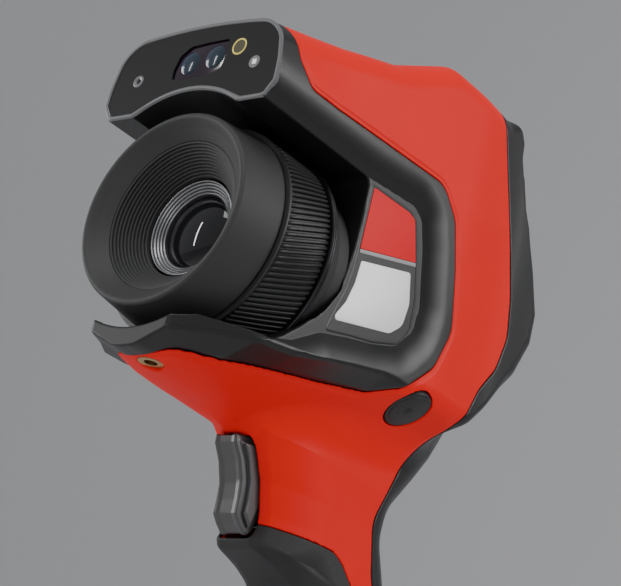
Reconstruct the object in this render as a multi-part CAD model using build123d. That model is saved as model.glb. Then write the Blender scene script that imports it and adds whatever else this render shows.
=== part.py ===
from build123d import *
import math
import os

# Handheld thermal imaging camera. Units are millimetres.
# The design frame has its origin on the lens axis, in the plane of the hood's front edge:
# +X is to the right seen from the front, +Y runs from the lens to the display, +Z is up.
# Everything is moved once, on export, so that the row's origin is the mouth of the tripod thread.

os.makedirs("parts", exist_ok=True)

# Driving dimensions
HALF_WIDTH = 43.6
WALL = 2.6
LEAN = 23.0
TRIPOD = (0.0, 14.5, -54.9)
GRIP_DOWN = (0.0, math.sin(math.radians(LEAN)), -math.cos(math.radians(LEAN)))
GRIP_BASE = (0.0, 155.0, -168.0)

RING_R = 43.2
FLANGE_R = 44.5
BARREL_R = 38.0
BORE_R = 24.0
TROUGH_R = 47.0
RIBS = 118
RIB_LENGTH = 23.2
RIB_SLANT = 0.549
RUN = 0.05
KNUCKLE_R = 1.1

REAR_TILT = 24.0
REAR_POINT = (0.0, 179.5, 51.5)
KEY_TILT = -19.0
KEY_POINT = (0.0, 179.2, 3.0)
KEYS_UP = -12.4
DISPLAY_UP = 20.5
GLASS_DEPTH = 3.0

PLUG_CENTRE = (35.5, 117.0, -33.0)
PLUG_NORMAL = (0.51, 0.25, -0.82)

# Side outlines, as (y, z) points
HEAD = [(-3, -54.8), (-3, 75.2), (4.6, 75.6), (38, 84.5), (67.7, 93.5), (103, 112), (149, 112), (155, 108),
        (157.5, 101), (186.5, 36), (186.5, 24.5), (183, 15), (149, -28.3), (140, -46), (104, -63),
        (67, -66), (45, -58), (28, -57), (4, -54.8)]
# Level sections of the neck and grip, as (z, front y, rear y, half width)
NECK = [(20, 112, 185.2, 27), (-27, 92, 168.5, 22.5), (-38, 80, 163.8, 19.5), (-48, 70, 158.6, 19.5),
        (-60, 66, 149, 19.5), (-68, 70, 146.4, 19), (-76.4, 75.5, 148.7, 18.6), (-91, 79.4, 154.8, 18.6),
        (-98.5, 78.4, 157.5, 18.6), (-102.5, 83, 159.1, 18.6), (-105, 97, 160, 18.7), (-109, 106, 161.6, 18.8), (-125, 113.7, 167, 19.2), (-200, 145, 191, 19.6)]
PARTING = [(135.3, 125), (135.3, 105.3), (148.1, 72.7), (161.6, 33.9), (164.6, 22), (164.2, 13), (161.3, 2.9),
           (153.2, -9.2), (146, -26), (143.4, -43.6), (138.4, -52.6), (132.4, -66), (131.9, -76), (136, -86),
           (145, -106), (175, -185)]
BUMPER = [(-6, 90), (4, 90), (4, 70), (8.8, 60), (16.6, 52.2), (33, 52.4), (101, 55.4), (106.3, 54),
          (110.6, 48.4), (118.3, 26.9), (124.3, 5), (123.6, -5.7), (117.4, -15.1), (103.9, -27.8), (89.5, -36.2),
          (57.2, -46.1), (30, -49.5), (6, -52), (4.5, -70), (-6, -70)]
THROAT = [(-30, 39.2), (60, 39.2), (62.4, 36.8), (63.1, 22), (62.9, 10), (61.3, -4), (57.7, -12.4),
          (50.6, -22.8), (44.1, -29.6), (36.5, -36.5), (31, -40), (-30, -40)]
THROAT_END = 62.3
LIP_PLAN = [(18.7, -0.6), (24, 9.7), (30, 18.5), (37.5, 26.5), (43.6, 32.2), (70, 50), (70, -30),
            (18.7, -30)]
RECESS = [(55, 40), (90, 41.2), (96, 38.6), (101, 27.5), (105.8, 6), (105, -4), (99.5, -12), (93, -16.5),
          (71.4, -23), (40, -31), (55, 7)]
VISOR_SIDE = [(31, 73.1), (40.4, 62.7), (43.6, 53), (43.6, 45.6), (39.3, 38.9), (24.9, 39.4)]

# Planes that slope the underside in towards the neck: a point and an outward normal for the +X side
SLOPES = [((17.4, -0.6, -48), (0.44, -0.33, -0.84)),
          ((43.6, 57, -49.5), (0.53, 0.06, -0.84)),
          ((36, 117.3, -32.6), (0.5, 0.3, -0.81)),
          ((43.6, 132, -20), (0.55, 0.55, -0.63))]

NODES = {}


def add(name, part):
    NODES[name] = part


def yz(points, x0, x1):
    """A (y, z) outline extruded from x0 to x1."""
    wire = Polyline([(x0, y, z) for y, z in points], close=True)
    return extrude(make_face(wire), amount=x1 - x0, dir=(1, 0, 0))


def xy(points, z0, z1):
    """An (x, y) outline extruded from z0 to z1."""
    wire = Polyline([(x, y, z0) for x, y in points], close=True)
    return extrude(make_face(wire), amount=z1 - z0, dir=(0, 0, 1))


def turned(points):
    """A ring turned about the lens axis from (radius, y) points."""
    wire = Polyline([(r, y, 0) for r, y in points], close=True)
    return revolve(make_face(wire), axis=Axis.Y)


def tube(radius, inner, y0, y1):
    return turned([(inner, y0), (radius, y0), (radius, y1), (inner, y1)])


def disc(radius, y0, y1):
    return Pos(0, y0, 0) * Rot(-90, 0, 0) * pillar(radius, y1 - y0)


def block(x0, x1, y0, y1, z0, z1):
    size = Box(x1 - x0, y1 - y0, z1 - z0, align=(Align.MIN, Align.MIN, Align.MIN))
    return Pos(x0, y0, z0) * size


def rod(start, end, radius):
    """A round rod from one point to another."""
    line = Vector(*end) - Vector(*start)
    plane = Plane(origin=start, z_dir=line)
    return plane.location * pillar(radius, line.length)


def beyond(point, normal, size=400):
    """Everything on the outer side of a plane."""
    plane = Plane(origin=point, z_dir=normal)
    return plane.location * Box(size, size, size / 2, align=(Align.CENTER, Align.CENTER, Align.MIN))


def both_sides(part):
    return part + mirror(part, about=Plane.YZ)


def mirrored(part):
    return mirror(part, about=Plane.YZ)


def inset_outline(points, inset):
    face = make_face(Polyline([(y, z, 0) for y, z in points], close=True))
    if inset:
        face = offset(face, amount=-inset, kind=Kind.INTERSECTION)
    return face


def slab(points, inset, half):
    """A side outline, moved in by inset, as a slab of the given half width."""
    plane = Plane(origin=(-half, 0, 0), x_dir=(0, 1, 0), z_dir=(1, 0, 0))
    return extrude(plane * inset_outline(points, inset), amount=2 * half, dir=(1, 0, 0))


def is_outer_top(edge, half):
    middle = edge.center()
    box = edge.bounding_box()
    return box.min.X > half - 0.1 and middle.Z > 38 and middle.Y > 0.5


def head(inset):
    """The head's outer form, or its inner form when inset is given."""
    half = HALF_WIDTH - inset
    solid = slab(HEAD, inset, half)
    tops = solid.edges().filter_by(lambda e: is_outer_top(e, half) or is_outer_top(e.mirror(Plane.YZ), half))
    solid = fillet(tops, 11.0 - inset)
    for (x, y, z), (nx, ny, nz) in SLOPES:
        length = math.sqrt(nx * nx + ny * ny + nz * nz)
        nx, ny, nz = nx / length, ny / length, nz / length
        point = (x - inset * nx, y - inset * ny, z - inset * nz)
        solid -= beyond(point, (nx, ny, nz))
        solid -= beyond((-point[0], point[1], point[2]), (-nx, ny, nz))
    return solid


def neck(inset):
    """The neck and grip: rounded level sections joined from top to bottom, cut off square below."""
    sections = []
    for z, front, rear, half in NECK:
        depth = rear - front - 2 * inset
        outline = RectangleRounded(2 * (half - inset), depth, min(half, 15) - inset)
        sections.append(Pos(0, (front + rear) / 2, z) * outline)
    solid = loft(sections, ruled=True)
    return solid - beyond(point_on_grip(-inset), GRIP_DOWN)


def point_on_grip(past_base):
    """A point on the grip's axis, past its base by the given length."""
    return tuple(base + past_base * down for base, down in zip(GRIP_BASE, GRIP_DOWN))


def envelope(inset=0.0):
    return head(inset) + neck(inset)


def grip_frame(past_base):
    """A frame on the grip's axis whose local +Z points down the grip, and local X is the row's X."""
    return Plane(origin=point_on_grip(past_base), x_dir=(1, 0, 0), z_dir=GRIP_DOWN)


def grip_bar(width, depth, start, end, shift=0.0, radius=5.0):
    """A rounded bar along the grip's axis; start and end are measured past the grip's base."""
    outline = Pos(0, shift, 0) * RectangleRounded(width, depth, radius)
    return extrude(grip_frame(start) * outline, amount=end - start, dir=GRIP_DOWN)


def rear_frame(across, up, out):
    """A frame on the display's face: local X to the left seen from behind, Y up the face, Z outward."""
    plane = Plane(origin=REAR_POINT, x_dir=(-1, 0, 0), z_dir=tilted(REAR_TILT))
    return plane.location * Pos(across, up, out)


def key_frame(across, up, out):
    plane = Plane(origin=KEY_POINT, x_dir=(-1, 0, 0), z_dir=tilted(KEY_TILT))
    return plane.location * Pos(across, up, out)


def tilted(angle):
    return (0, math.cos(math.radians(angle)), math.sin(math.radians(angle)))


def plate(width, height, thickness, radius):
    """A rounded plate that stands on local Z = 0."""
    return extrude(RectangleRounded(width, height, radius), amount=thickness)


def pipe(radius, inner, length):
    low = (Align.CENTER, Align.CENTER, Align.MIN)
    return Cylinder(radius, length, align=low) - Cylinder(inner, length, align=low)


def pillar(radius, length):
    return Cylinder(radius, length, align=(Align.CENTER, Align.CENTER, Align.MIN))


OUTER = envelope()
INNER = envelope(WALL)
FRONT_SIDE = yz([(-20, 130)] + PARTING + [(-20, -185)], -60, 60)
REAR_SIDE = yz(PARTING + [(260, -185), (260, 125)], -60, 60)
BUMPER_ZONE = yz(BUMPER, -60, 60)
THROAT_ZONE = yz(THROAT, -60, 60) + disc(TROUGH_R, -10, THROAT_END)
LIP_CUT = both_sides(xy(LIP_PLAN, -80, -38))
UNDER_GRIP = beyond(point_on_grip(-12.0), GRIP_DOWN)


def throat_liner():
    """The walls that line the lens throat, as a block that the throat is then cut from."""
    side = [(-3, 48), (63, 48), (66, 42), (66, 5), (62, -16), (55, -30), (44, -42), (33, -46.5), (-3, -50)]
    grown = yz(side, -HALF_WIDTH, HALF_WIDTH)
    return (grown + disc(TROUGH_R + 3, -3, THROAT_END + WALL)) & OUTER


# Housing

PLUG_PLANE = Plane(origin=PLUG_CENTRE, z_dir=PLUG_NORMAL)
PLUG_HOLE = PLUG_PLANE.location * Pos(0, 0, -4.2) * pillar(10.0, 30)
TRIGGER_PIVOT = (0.0, 79.0, -62.5)
TRIGGER_SLOT = yz([(58, -64.5), (70, -62), (84, -56), (92, -62), (90, -90), (84, -96), (78, -98.4), (58, -98.4)],
                  -7.6, 7.6)
PORT_DOOR = [(129, 62), (146, 62), (156, 32), (155, 18), (129, 18)]
PORT_HOLE = yz(PORT_DOOR, -60, -38)
TRIPOD_SEAT = Pos(*TRIPOD) * Rot(180, 0, 0)


def front_shell():
    """Red moulding: both sides, top, sloping underside, neck and the front of the grip."""
    shell = (OUTER - INNER) & FRONT_SIDE
    shell += screw_bosses() & INNER & FRONT_SIDE
    shell -= BUMPER_ZONE
    shell -= LIP_CUT
    shell -= THROAT_ZONE
    shell -= UNDER_GRIP
    shell -= both_sides(PLUG_HOLE)
    shell -= TRIGGER_SLOT
    shell -= PORT_HOLE
    shell -= TRIPOD_SEAT * Pos(0, 0, -11) * pillar(5.0, 30)
    shell -= GRIP_SKIN_ZONE
    return largest(shell)


def largest(part):
    return max(part.solids(), key=lambda solid: solid.volume)


GRIP_SKIN_ZONE = yz([(60, -92.3), (74, -92.3), (106, -91.2), (114, -91.1), (120, -94), (127, -99.6), (136, -103),
                     (190, -230), (60, -230)], -60, 60) - envelope(1.3)


def grip_rubber():
    """Soft black skin let into the lower grip."""
    skin = (neck(0) - neck(1.3)) & GRIP_SKIN_ZONE & FRONT_SIDE
    skin -= UNDER_GRIP
    skin -= both_sides(latch_window())
    skin -= TRIGGER_SLOT
    return largest(skin)


def rear_shell():
    """Black moulding behind the parting line: display surround, key deck and the back of the grip."""
    shell = (OUTER - INNER) & REAR_SIDE
    shell -= UNDER_GRIP
    shell -= rear_frame(0, DISPLAY_UP, -40) * plate(70, 49, 80, 3)
    shell -= rear_frame(0, DISPLAY_UP, -GLASS_DEPTH) * plate(75, 54, 80, 5)
    for across in (-22, 0, 22):
        shell -= rear_frame(across, KEYS_UP, -40) * plate(13.4, 5.6, 80, 2.7)
    shell -= key_frame(0, 0, -40) * pillar(13.2, 80)
    for side in (-1, 1):
        shell -= rod(*screw_line(side, -2.3, 20), 3.2)
        shell -= rod(*screw_line(side, -24, -1), 1.5)
    return largest(shell)


def screw_line(side, start, end):
    """A line through a shell screw's axis, with start and end measured outward from the shell's skin."""
    out = Vector(0, 1, 0)
    skin = Vector(side * 12, 145, -70)
    return skin + out * start, skin + out * end


def screw_bosses():
    """Pillars in the front shell that the shell screws bite into."""
    right, left = (rod(*screw_line(side, -30, -13.5), 4.8) for side in (1, -1))
    return right + left - rod(*screw_line(1, -24, 0), 1.3) - rod(*screw_line(-1, -24, 0), 1.3)


def bumper_frame():
    """Black C-shaped frame: visor arm, side panels and lower lip round the lens throat."""
    skin = OUTER - block(-36.5, 36.5, 2, 200, -100, 110)
    skin += OUTER - INNER
    frame = (skin & BUMPER_ZONE) + (throat_liner() & BUMPER_ZONE)
    frame -= THROAT_ZONE
    frame -= LIP_CUT
    frame -= INNER & block(-36.5, 36.5, 2, 200, 50, 110)
    frame -= disc(BARREL_R + 0.3, 50, 70)
    frame -= both_sides(yz(RECESS, HALF_WIDTH - 4.2, 60))
    frame -= visor_pocket()
    frame -= both_sides(PLUG_HOLE)
    frame -= both_sides(edge_chamfers())
    frame -= TRIPOD_SEAT * Pos(0, 0, -11) * pillar(5.0, 30)
    return largest(frame)


def edge_chamfers():
    """Chamfers along the outer edges of the throat, above and below."""
    upper = [(39.3, 38.9), (43.6, 45.6), (60, 45.6), (60, 38.9)]
    lower = [(39.3, -38.5), (43.6, -43.5), (60, -43.5), (60, -38.5)]
    wire = Polyline([(x, -10, z) for x, z in upper], close=True)
    chamfer_above = extrude(make_face(wire), amount=66, dir=(0, 1, 0))
    wire = Polyline([(x, -10, z) for x, z in lower], close=True)
    return chamfer_above + extrude(make_face(wire), amount=52, dir=(0, 1, 0))


def visor_outline(inset):
    left = [(-x, z) for x, z in VISOR_SIDE]
    points = VISOR_SIDE + [(0, 39.4)] + left[::-1]
    points = [(x, z) for x, z in points] + [(0, 75.4)]
    plane = Plane(origin=(0, -3, 0), x_dir=(1, 0, 0), z_dir=(0, -1, 0))
    face = make_face(Polyline([(x, z, 0) for x, z in points], close=True))
    face -= Circle(TROUGH_R)
    if inset:
        face = offset(face, amount=-inset, kind=Kind.INTERSECTION)
    return plane * face


def visor_pocket():
    """The shallow pocket that the visor's glossy window lies in, and the opening behind it."""
    pocket = extrude(visor_outline(1.6), amount=1.8, dir=(0, 1, 0))
    return pocket + extrude(visor_outline(4.0), amount=5.5, dir=(0, 1, 0))


OPTICS = [(-10.4, 53.4), (-10.2, 60), (-8.6, 64), (-5, 66.4), (12.6, 67.0), (13.2, 59), (11.2, 55), (7.6, 53)]


def visor_window():
    """Glossy black front panel of the visor, with holes for the lamp, pointer and optics."""
    panel = extrude(visor_outline(1.75), amount=1.5, dir=(0, 1, 0))
    panel -= Pos(0, -4, 0) * facing_front(OPTICS, 4)
    for x in (-28, 29.5):
        panel -= Pos(x, -5, 55.3) * Rot(-90, 0, 0) * pillar(2.7, 6)
    return panel


def facing_front(points, depth):
    wire = Polyline([(x, 0, z) for x, z in points], close=True)
    return extrude(make_face(wire), amount=depth, dir=(0, 1, 0))


def optics_window():
    """Clear window, in the panel, in front of the camera and the range finder."""
    inner = offset(make_face(Polyline([(x, z, 0) for x, z in OPTICS], close=True)), amount=-0.1)
    plane = Plane(origin=(0, -2.7, 0), x_dir=(1, 0, 0), z_dir=(0, -1, 0))
    return extrude(plane * inner, amount=1.1, dir=(0, 1, 0))


def domed(radius, y0, y1, crown):
    """A round glass on the lens axis, crowned towards y0, with a plain edge and a flat back."""
    ball = (radius ** 2 + crown ** 2) / (2 * crown)
    half_angle = math.asin(radius / ball) / 2
    middle = (ball * math.sin(half_angle), y0 + math.copysign(ball - ball * math.cos(half_angle), y1 - y0))
    shoulder = y0 + math.copysign(crown, y1 - y0)
    outline = Line((0, y1), (radius, y1)) + Line((radius, y1), (radius, shoulder))
    outline += ThreePointArc((radius, shoulder), middle, (0, y0))
    outline += Line((0, y0), (0, y1))
    return revolve(make_face(outline), axis=Axis.Y)


def optics_module(x, z):
    """Square carrier with a round snout that holds one small lens."""
    body = block(x - 5.8, x + 5.8, 6, 18, z - 6.5, z + 6.5)
    snout = Pos(x, 1.2, z) * Rot(-90, 0, 0) * pillar(5.6, 5.0)
    hole = Pos(x, 1.0, z) * Rot(-90, 0, 0) * pillar(4.6, 3.0)
    return body + snout - hole


def small_lamp(x):
    """A lamp or pointer: a stepped barrel that fills its hole in the panel."""
    head_part = Pos(x, -2.6, 55.3) * Rot(-90, 0, 0) * pillar(2.6, 4)
    base = Pos(x, 1.4, 55.3) * Rot(-90, 0, 0) * pillar(4.2, 9)
    bore = Pos(x, -3, 55.3) * Rot(-90, 0, 0) * pillar(1.5, 1.4)
    return head_part + base - bore


# Lens

def lens_hood():
    """Wide front hood with a smooth dished front."""
    profile = [(35.2, 0.05), (37.0, 0.3), (38.4, 1.1), (39.1, 2.4), (41.3, 19.8), (34, 19.8), (34, 9.2),
               (30.1, 9.2), (30.1, 5.1), (32, 3.0), (33.8, 0.9)]
    return turned(profile)


def hood_baffle():
    """Stepped funnel inside the hood."""
    steps = 11
    outer, inner = 30.0, 20.3
    front, back = 5.3, 16.0
    rise = (outer - inner) / steps
    run = (back - front) / steps
    points = [(outer, front)]
    for i in range(steps):
        points.append((outer - rise * (i + 1), front + run * i))
        points.append((outer - rise * (i + 1), front + run * (i + 1)))
    points += [(inner, 19.6), (33.9, 19.6), (33.9, 9.3), (outer, 9.3)]
    return turned(points)


def retaining_ring():
    """Bright stepped ring that holds the front glass in the focus cell."""
    return turned([(19.5, 16.4), (19.5, 21), (14.9, 21), (14.9, 19.4), (15.9, 19.4), (15.9, 18.6), (16.9, 18.6),
                   (16.9, 17.7), (17.8, 17.7), (17.8, 16.9), (18.5, 16.4)])


def focus_cell():
    """Sliding cell that carries the glass."""
    return turned([(19.5, 21.1), (19.5, 24.0), (BORE_R - RUN, 24.0), (BORE_R - RUN, 46), (18, 46), (18, 27),
                   (17.2, 27), (17.2, 21.1)])


def front_element():
    return domed(14.8, 18.6, 21.2, 2.2) + disc(17.1, 21.1, 26.5)


def rear_element():
    return domed(17.8, 42, 34, 4.1)


def lens_barrel():
    """Fixed tube that the focus ring turns on and the focus cell slides in."""
    return tube(BARREL_R, BORE_R, 19.9, 66.0)


def focus_ring():
    """Ribbed ring that is turned to focus; its ribs slant round it."""
    points = []
    for i in range(RIBS):
        for part, radius in ((0.0, RING_R), (0.52, RING_R), (0.6, RING_R - 1.0), (0.92, RING_R - 1.0)):
            angle = 2 * math.pi * (i + part) / RIBS
            points.append((radius * math.cos(angle), radius * math.sin(angle), 0))
    section = make_face(Polyline(points, close=True)).face()
    ribs = Solid.extrude_linear_with_rotation(section, (0, 0, 0), (0, 0, RIB_LENGTH), -RIB_SLANT * RIB_LENGTH)
    ribbed = Pos(0, 21.4, 0) * Rot(-90, 0, 0) * ribs - disc(BARREL_R + RUN, 0, 60)
    return ribbed + tube(RING_R, BARREL_R + RUN, 20.2, 21.4)


def lens_flange():
    bore = BARREL_R + 0.05
    return turned([(bore, 45.0), (FLANGE_R - 0.6, 45.0), (FLANGE_R, 45.6), (FLANGE_R, 47.2), (bore, 47.2)])


def lens_mount():
    """Bayonet ring between the lens and the housing."""
    return tube(42.5, BARREL_R, 47.2, THROAT_END)


def mount_seal():
    return tube(BARREL_R + 0.3, 34.0, 66.1, 67.6) - tube(36.6, 35.4, 65, 66.9)


# Trigger and tripod

TRIGGER = [(63.4, -66.2), (66.2, -68.4), (69.8, -74), (71.0, -80), (71.0, -88), (72.4, -93), (76.4, -96.8),
           (80.5, -94), (83.5, -84), (84.5, -72), (83.2, -62), (79, -58.6), (73.5, -60.4), (66.0, -64.4)]


def pivot_rod(half, radius):
    x, y, z = TRIGGER_PIVOT
    return rod((x - half, y, z), (x + half, y, z), radius)


def trigger():
    body = yz(TRIGGER, -7.0, 7.0)
    sides = body.edges().filter_by(lambda e: abs(abs(e.center().X) - 7.0) < 0.01 and e.center().Y < 76)
    return chamfer(sides, 1.2) - pivot_rod(10, 1.5 + RUN)


def trigger_pin():
    return pivot_rod(12, 1.5)


def trigger_bracket():
    """Fork that holds the trigger's pin, its spring and its switch."""
    ears = block(8.0, 10.0, 75, 100, -66, -50) + block(-10.0, -8.0, 75, 100, -66, -50)
    back = block(-10.0, 10.0, 98, 100, -88, -50)
    return ears + back - pivot_rod(15, 1.5)


def trigger_switch():
    return block(-3, 3, 88.6, 97.9, -78, -66) + Pos(0, 87.0, -72) * Rot(-90, 0, 0) * pillar(1.2, 2.0)


def spring(start, direction, radius, wire, turns, length):
    """A compression spring, as a stack of plain rings that keeps its outer size."""
    plane = Plane(origin=start, z_dir=direction)
    pitch = (length - 2 * wire) / (turns - 1)
    coils = [Pos(0, 0, wire + pitch * i) * Torus(radius, wire) for i in range(turns)]
    core = pipe(radius + 0.15, radius - 0.15, length)
    return plane.location * (core + coils)


def tripod_insert():
    seat = TRIPOD_SEAT * Pos(0, 0, -8.0)
    return seat * pipe(4.9, 2.55, 8.0)


# Labels and plugs on the sides

BADGE = [(65.8, 37.2), (88.8, 37.6), (92.2, 36.0), (98.4, 21.0), (65.8, 11.5)]
LABEL = [(68.2, 7.2), (96.0, 15.2), (98.3, 9.4), (99.7, 2.0), (99.6, -3.0), (97.4, -7.4), (92.7, -10.8),
         (61.0, -19.0), (64.4, -11.8), (66.4, -6.0), (67.6, 0.0)]


def socket_plug():
    """Round screw-in plug with a hexagon socket."""
    body = Pos(0, 0, -4.1) * pillar(9.75, 4.4)
    body -= Pos(0, 0, -2.6) * extrude(RegularPolygon(1.8, 6), amount=10)
    return PLUG_PLANE.location * body


# Rear

def cover_glass():
    return rear_frame(0, DISPLAY_UP, -GLASS_DEPTH) * plate(74.6, 53.6, 1.4, 4.8)


def display_panel():
    return rear_frame(0, DISPLAY_UP, -GLASS_DEPTH - 3.8) * plate(69.4, 48.4, 3.8, 2)


def wide_key(across):
    """Rubber key: a cap through the shell, a foot behind it and a stem."""
    cap = rear_frame(across, KEYS_UP, -3.0) * plate(13.0, 5.2, 4.2, 2.5)
    foot = rear_frame(across, KEYS_UP, -4.8) * plate(14.8, 7.0, 0.9, 3)
    return cap + foot + rear_frame(across, KEYS_UP, -4.2) * plate(9, 4, 2, 1.5)


def nav_key():
    ring = pipe(12.9, 6.3, 2.6)
    return key_frame(0, 0, -1.7) * ring


def ok_key():
    return key_frame(0, 0, -1.7) * pillar(6.0, 3.0)


def key_mat():
    """Silicone mat under the keys, with a dome under each."""
    mat = key_frame(0, 0, -4.6) * plate(30, 30, 1.0, 9)
    for angle in range(0, 360, 90):
        mat += key_frame(0, 0, -3.7) * Rot(0, 0, angle) * Pos(9.6, 0, 0) * pillar(1.6, 0.8)
    return mat + key_frame(0, 0, -3.7) * pillar(1.6, 0.8)


# Inside

def image_board():
    return block(-32, 32, 88, 89.6, -30, 40) + block(-14, 14, 89.6, 93, -12, 14)


def power_board():
    board = block(-32, 32, 104, 105.6, -20, 60)
    for x, z in ((-18, 40), (0, 44), (18, 36), (-16, 5), (12, 0)):
        board += block(x - 5, x + 5, 105.6, 110, z - 5, z + 5)
    return board


def chassis():
    """Bent metal bracket that ties the lens mount to the boards."""
    front = block(-34, 34, 67.7, 69.3, -34, 38) - disc(30, 60, 80)
    rails = block(-34, -32.4, 67.7, 118, -16, 36) + block(32.4, 34, 67.7, 118, -16, 36)
    return front + rails


def detector():
    """Infrared detector package with its window and its board."""
    return block(-12, 12, 76.5, 82, -12, 12) + block(-20, 20, 82, 83.6, -20, 20)


def shutter_blade():
    arm = block(-3.5, 3.5, 73.0, 73.6, 10, 27)
    blade = disc(12.0, 73.0, 73.6)
    return arm + blade - rod((0, 60, 23), (0, 90, 23), 1.3)


def shutter_motor():
    body = Pos(0, 74.2, 23) * Rot(-90, 0, 0) * pillar(5, 7.4)
    return body + Pos(0, 72.0, 23) * Rot(-90, 0, 0) * pillar(1.25, 3)


def heat_spreader():
    fins = block(-26, 26, 112, 114, 0, 56)
    for i in range(9):
        x = -24 + 6 * i
        fins += block(x - 0.8, x + 0.8, 114, 120, 4, 52)
    return fins


def speaker():
    return Pos(22, 118, 84) * pillar(9, 5)


def antenna():
    return block(-30, -6, 108, 109, 88, 98)


def lamp_board():
    return block(-32, 32, 18.2, 19.6, 50, 66)


def battery():
    """Battery pack: the cells' case and the foot that closes the grip."""
    case = grip_bar(26.0, 36.4, -80, -11.0, -2.1, 7.8)
    foot = neck(0) & (grip_bar(80, 120, -11.8, 20, 0, 1))
    return case + foot - both_sides(latch_window(0.3))


def latch_window(gap=0.0):
    plane = grip_frame(-6.0)
    return plane.location * Pos(18, -4, 0) * Box(11 + 2 * gap, 14 + 2 * gap, 6.4 + 2 * gap)


def battery_latch():
    """Sprung button in the side of the battery's foot."""
    plane = grip_frame(-6.0)
    return (plane.location * Pos(18, -4, 0) * Box(8.0, 13.6, 6.0)) & neck(0.15)


def battery_sleeve():
    return grip_bar(28.4, 38.8, -84, -14, -2.1, 9.0) - grip_bar(26.8, 37.2, -82.6, 20, -2.1, 8.2)


def contact_block():
    return grip_bar(18, 8, -89, -84.1, -1.0, 1.0)


def port_cover():
    """Soft door over the side ports, with a round knuckle along its front edge."""
    face = offset(make_face(Polyline([(y, z, 0) for y, z in PORT_DOOR], close=True)), amount=-0.5)
    plane = Plane(origin=(-HALF_WIDTH, 0, 0), x_dir=(0, 1, 0), z_dir=(1, 0, 0))
    door = extrude(plane * face, amount=2 * KNUCKLE_R, dir=(1, 0, 0))
    x, y = -HALF_WIDTH + KNUCKLE_R, 129.5 + KNUCKLE_R
    door -= block(-60, 0, 120, y, 0, 80)
    return door + rod((x, y, 18.6), (x, y, 61.4), KNUCKLE_R)


def port_block():
    block_part = block(-40.2, -34, 130.5, 147, 20, 54)
    block_part -= block(-45, -36, 134, 137.4, 42, 51)
    block_part -= block(-45, -36, 134, 137, 28, 37)
    return block_part - block(-45, -36, 141, 143, 24, 48)


def shell_screws():
    screws = []
    for side in (-1, 1):
        screw = rod(*screw_line(side, -22, -2.2), 1.25) + rod(*screw_line(side, -2.3, -0.3), 2.8)
        screw -= rod(*screw_line(side, -1.5, 1), 1.2)
        screws += screw.solids()
    return Compound(children=screws)


add("front_shell", front_shell())
add("rear_shell", rear_shell())
add("bumper_frame", bumper_frame())
add("grip_rubber", grip_rubber())
add("visor_window", visor_window())
add("optics_window", optics_window())
add("camera_module", optics_module(-4.2, 59.6))
add("camera_lens", Pos(-4.2, 0, 59.6) * domed(4.5, 1.6, 3.95, 1.2))
add("range_finder_module", optics_module(7.8, 60.2))
add("range_finder_lens", Pos(7.8, 0, 60.2) * domed(4.5, 1.6, 3.95, 1.2))
add("laser_pointer", small_lamp(-28))
add("lamp", small_lamp(29.5))
add("lamp_board", lamp_board())
add("lens_hood", lens_hood())
add("hood_baffle", hood_baffle())
add("retaining_ring", retaining_ring())
add("focus_cell", focus_cell())
add("front_element", front_element())
add("rear_element", rear_element())
add("lens_barrel", lens_barrel())
add("focus_ring", focus_ring())
add("lens_flange", lens_flange())
add("lens_mount", lens_mount())
add("mount_seal", mount_seal())
add("trigger", trigger())
add("trigger_pin", trigger_pin())
add("trigger_bracket", trigger_bracket())
add("trigger_switch", trigger_switch())
add("trigger_spring", spring((0, 86.6, -88), (0, 1, 0), 3.0, 0.5, 5, 11.2))
add("tripod_insert", tripod_insert())
add("badge_right", yz(BADGE, 39.4, 40.2))
add("badge_left", yz(BADGE, -40.2, -39.4))
add("label_plate", yz(LABEL, 39.4, 40.0))
add("socket_plug_right", socket_plug())
add("socket_plug_left", mirrored(socket_plug()))
add("cover_glass", cover_glass())
add("display_panel", display_panel())
add("back_key", wide_key(22))
add("power_key", wide_key(0))
add("gallery_key", wide_key(-22))
add("nav_key", nav_key())
add("ok_key", ok_key())
add("key_mat", key_mat())
add("image_board", image_board())
add("power_board", power_board())
add("chassis", chassis())
add("detector", detector())
add("shutter_blade", shutter_blade())
add("shutter_motor", shutter_motor())
add("heat_spreader", heat_spreader())
add("speaker", speaker())
add("antenna", antenna())
add("battery", battery())
add("battery_latch_right", battery_latch())
add("battery_latch_left", mirrored(battery_latch()))
add("battery_sleeve", battery_sleeve())
add("contact_block", contact_block())
add("port_cover", port_cover())
add("port_block", port_block())
add("shell_screws", shell_screws())

for name, part in NODES.items():
    moved = Pos(-TRIPOD[0], -TRIPOD[1], -TRIPOD[2]) * part
    export_step(moved, f"parts/{name}.step")
print(len(NODES), "nodes")
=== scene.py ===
import math

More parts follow.
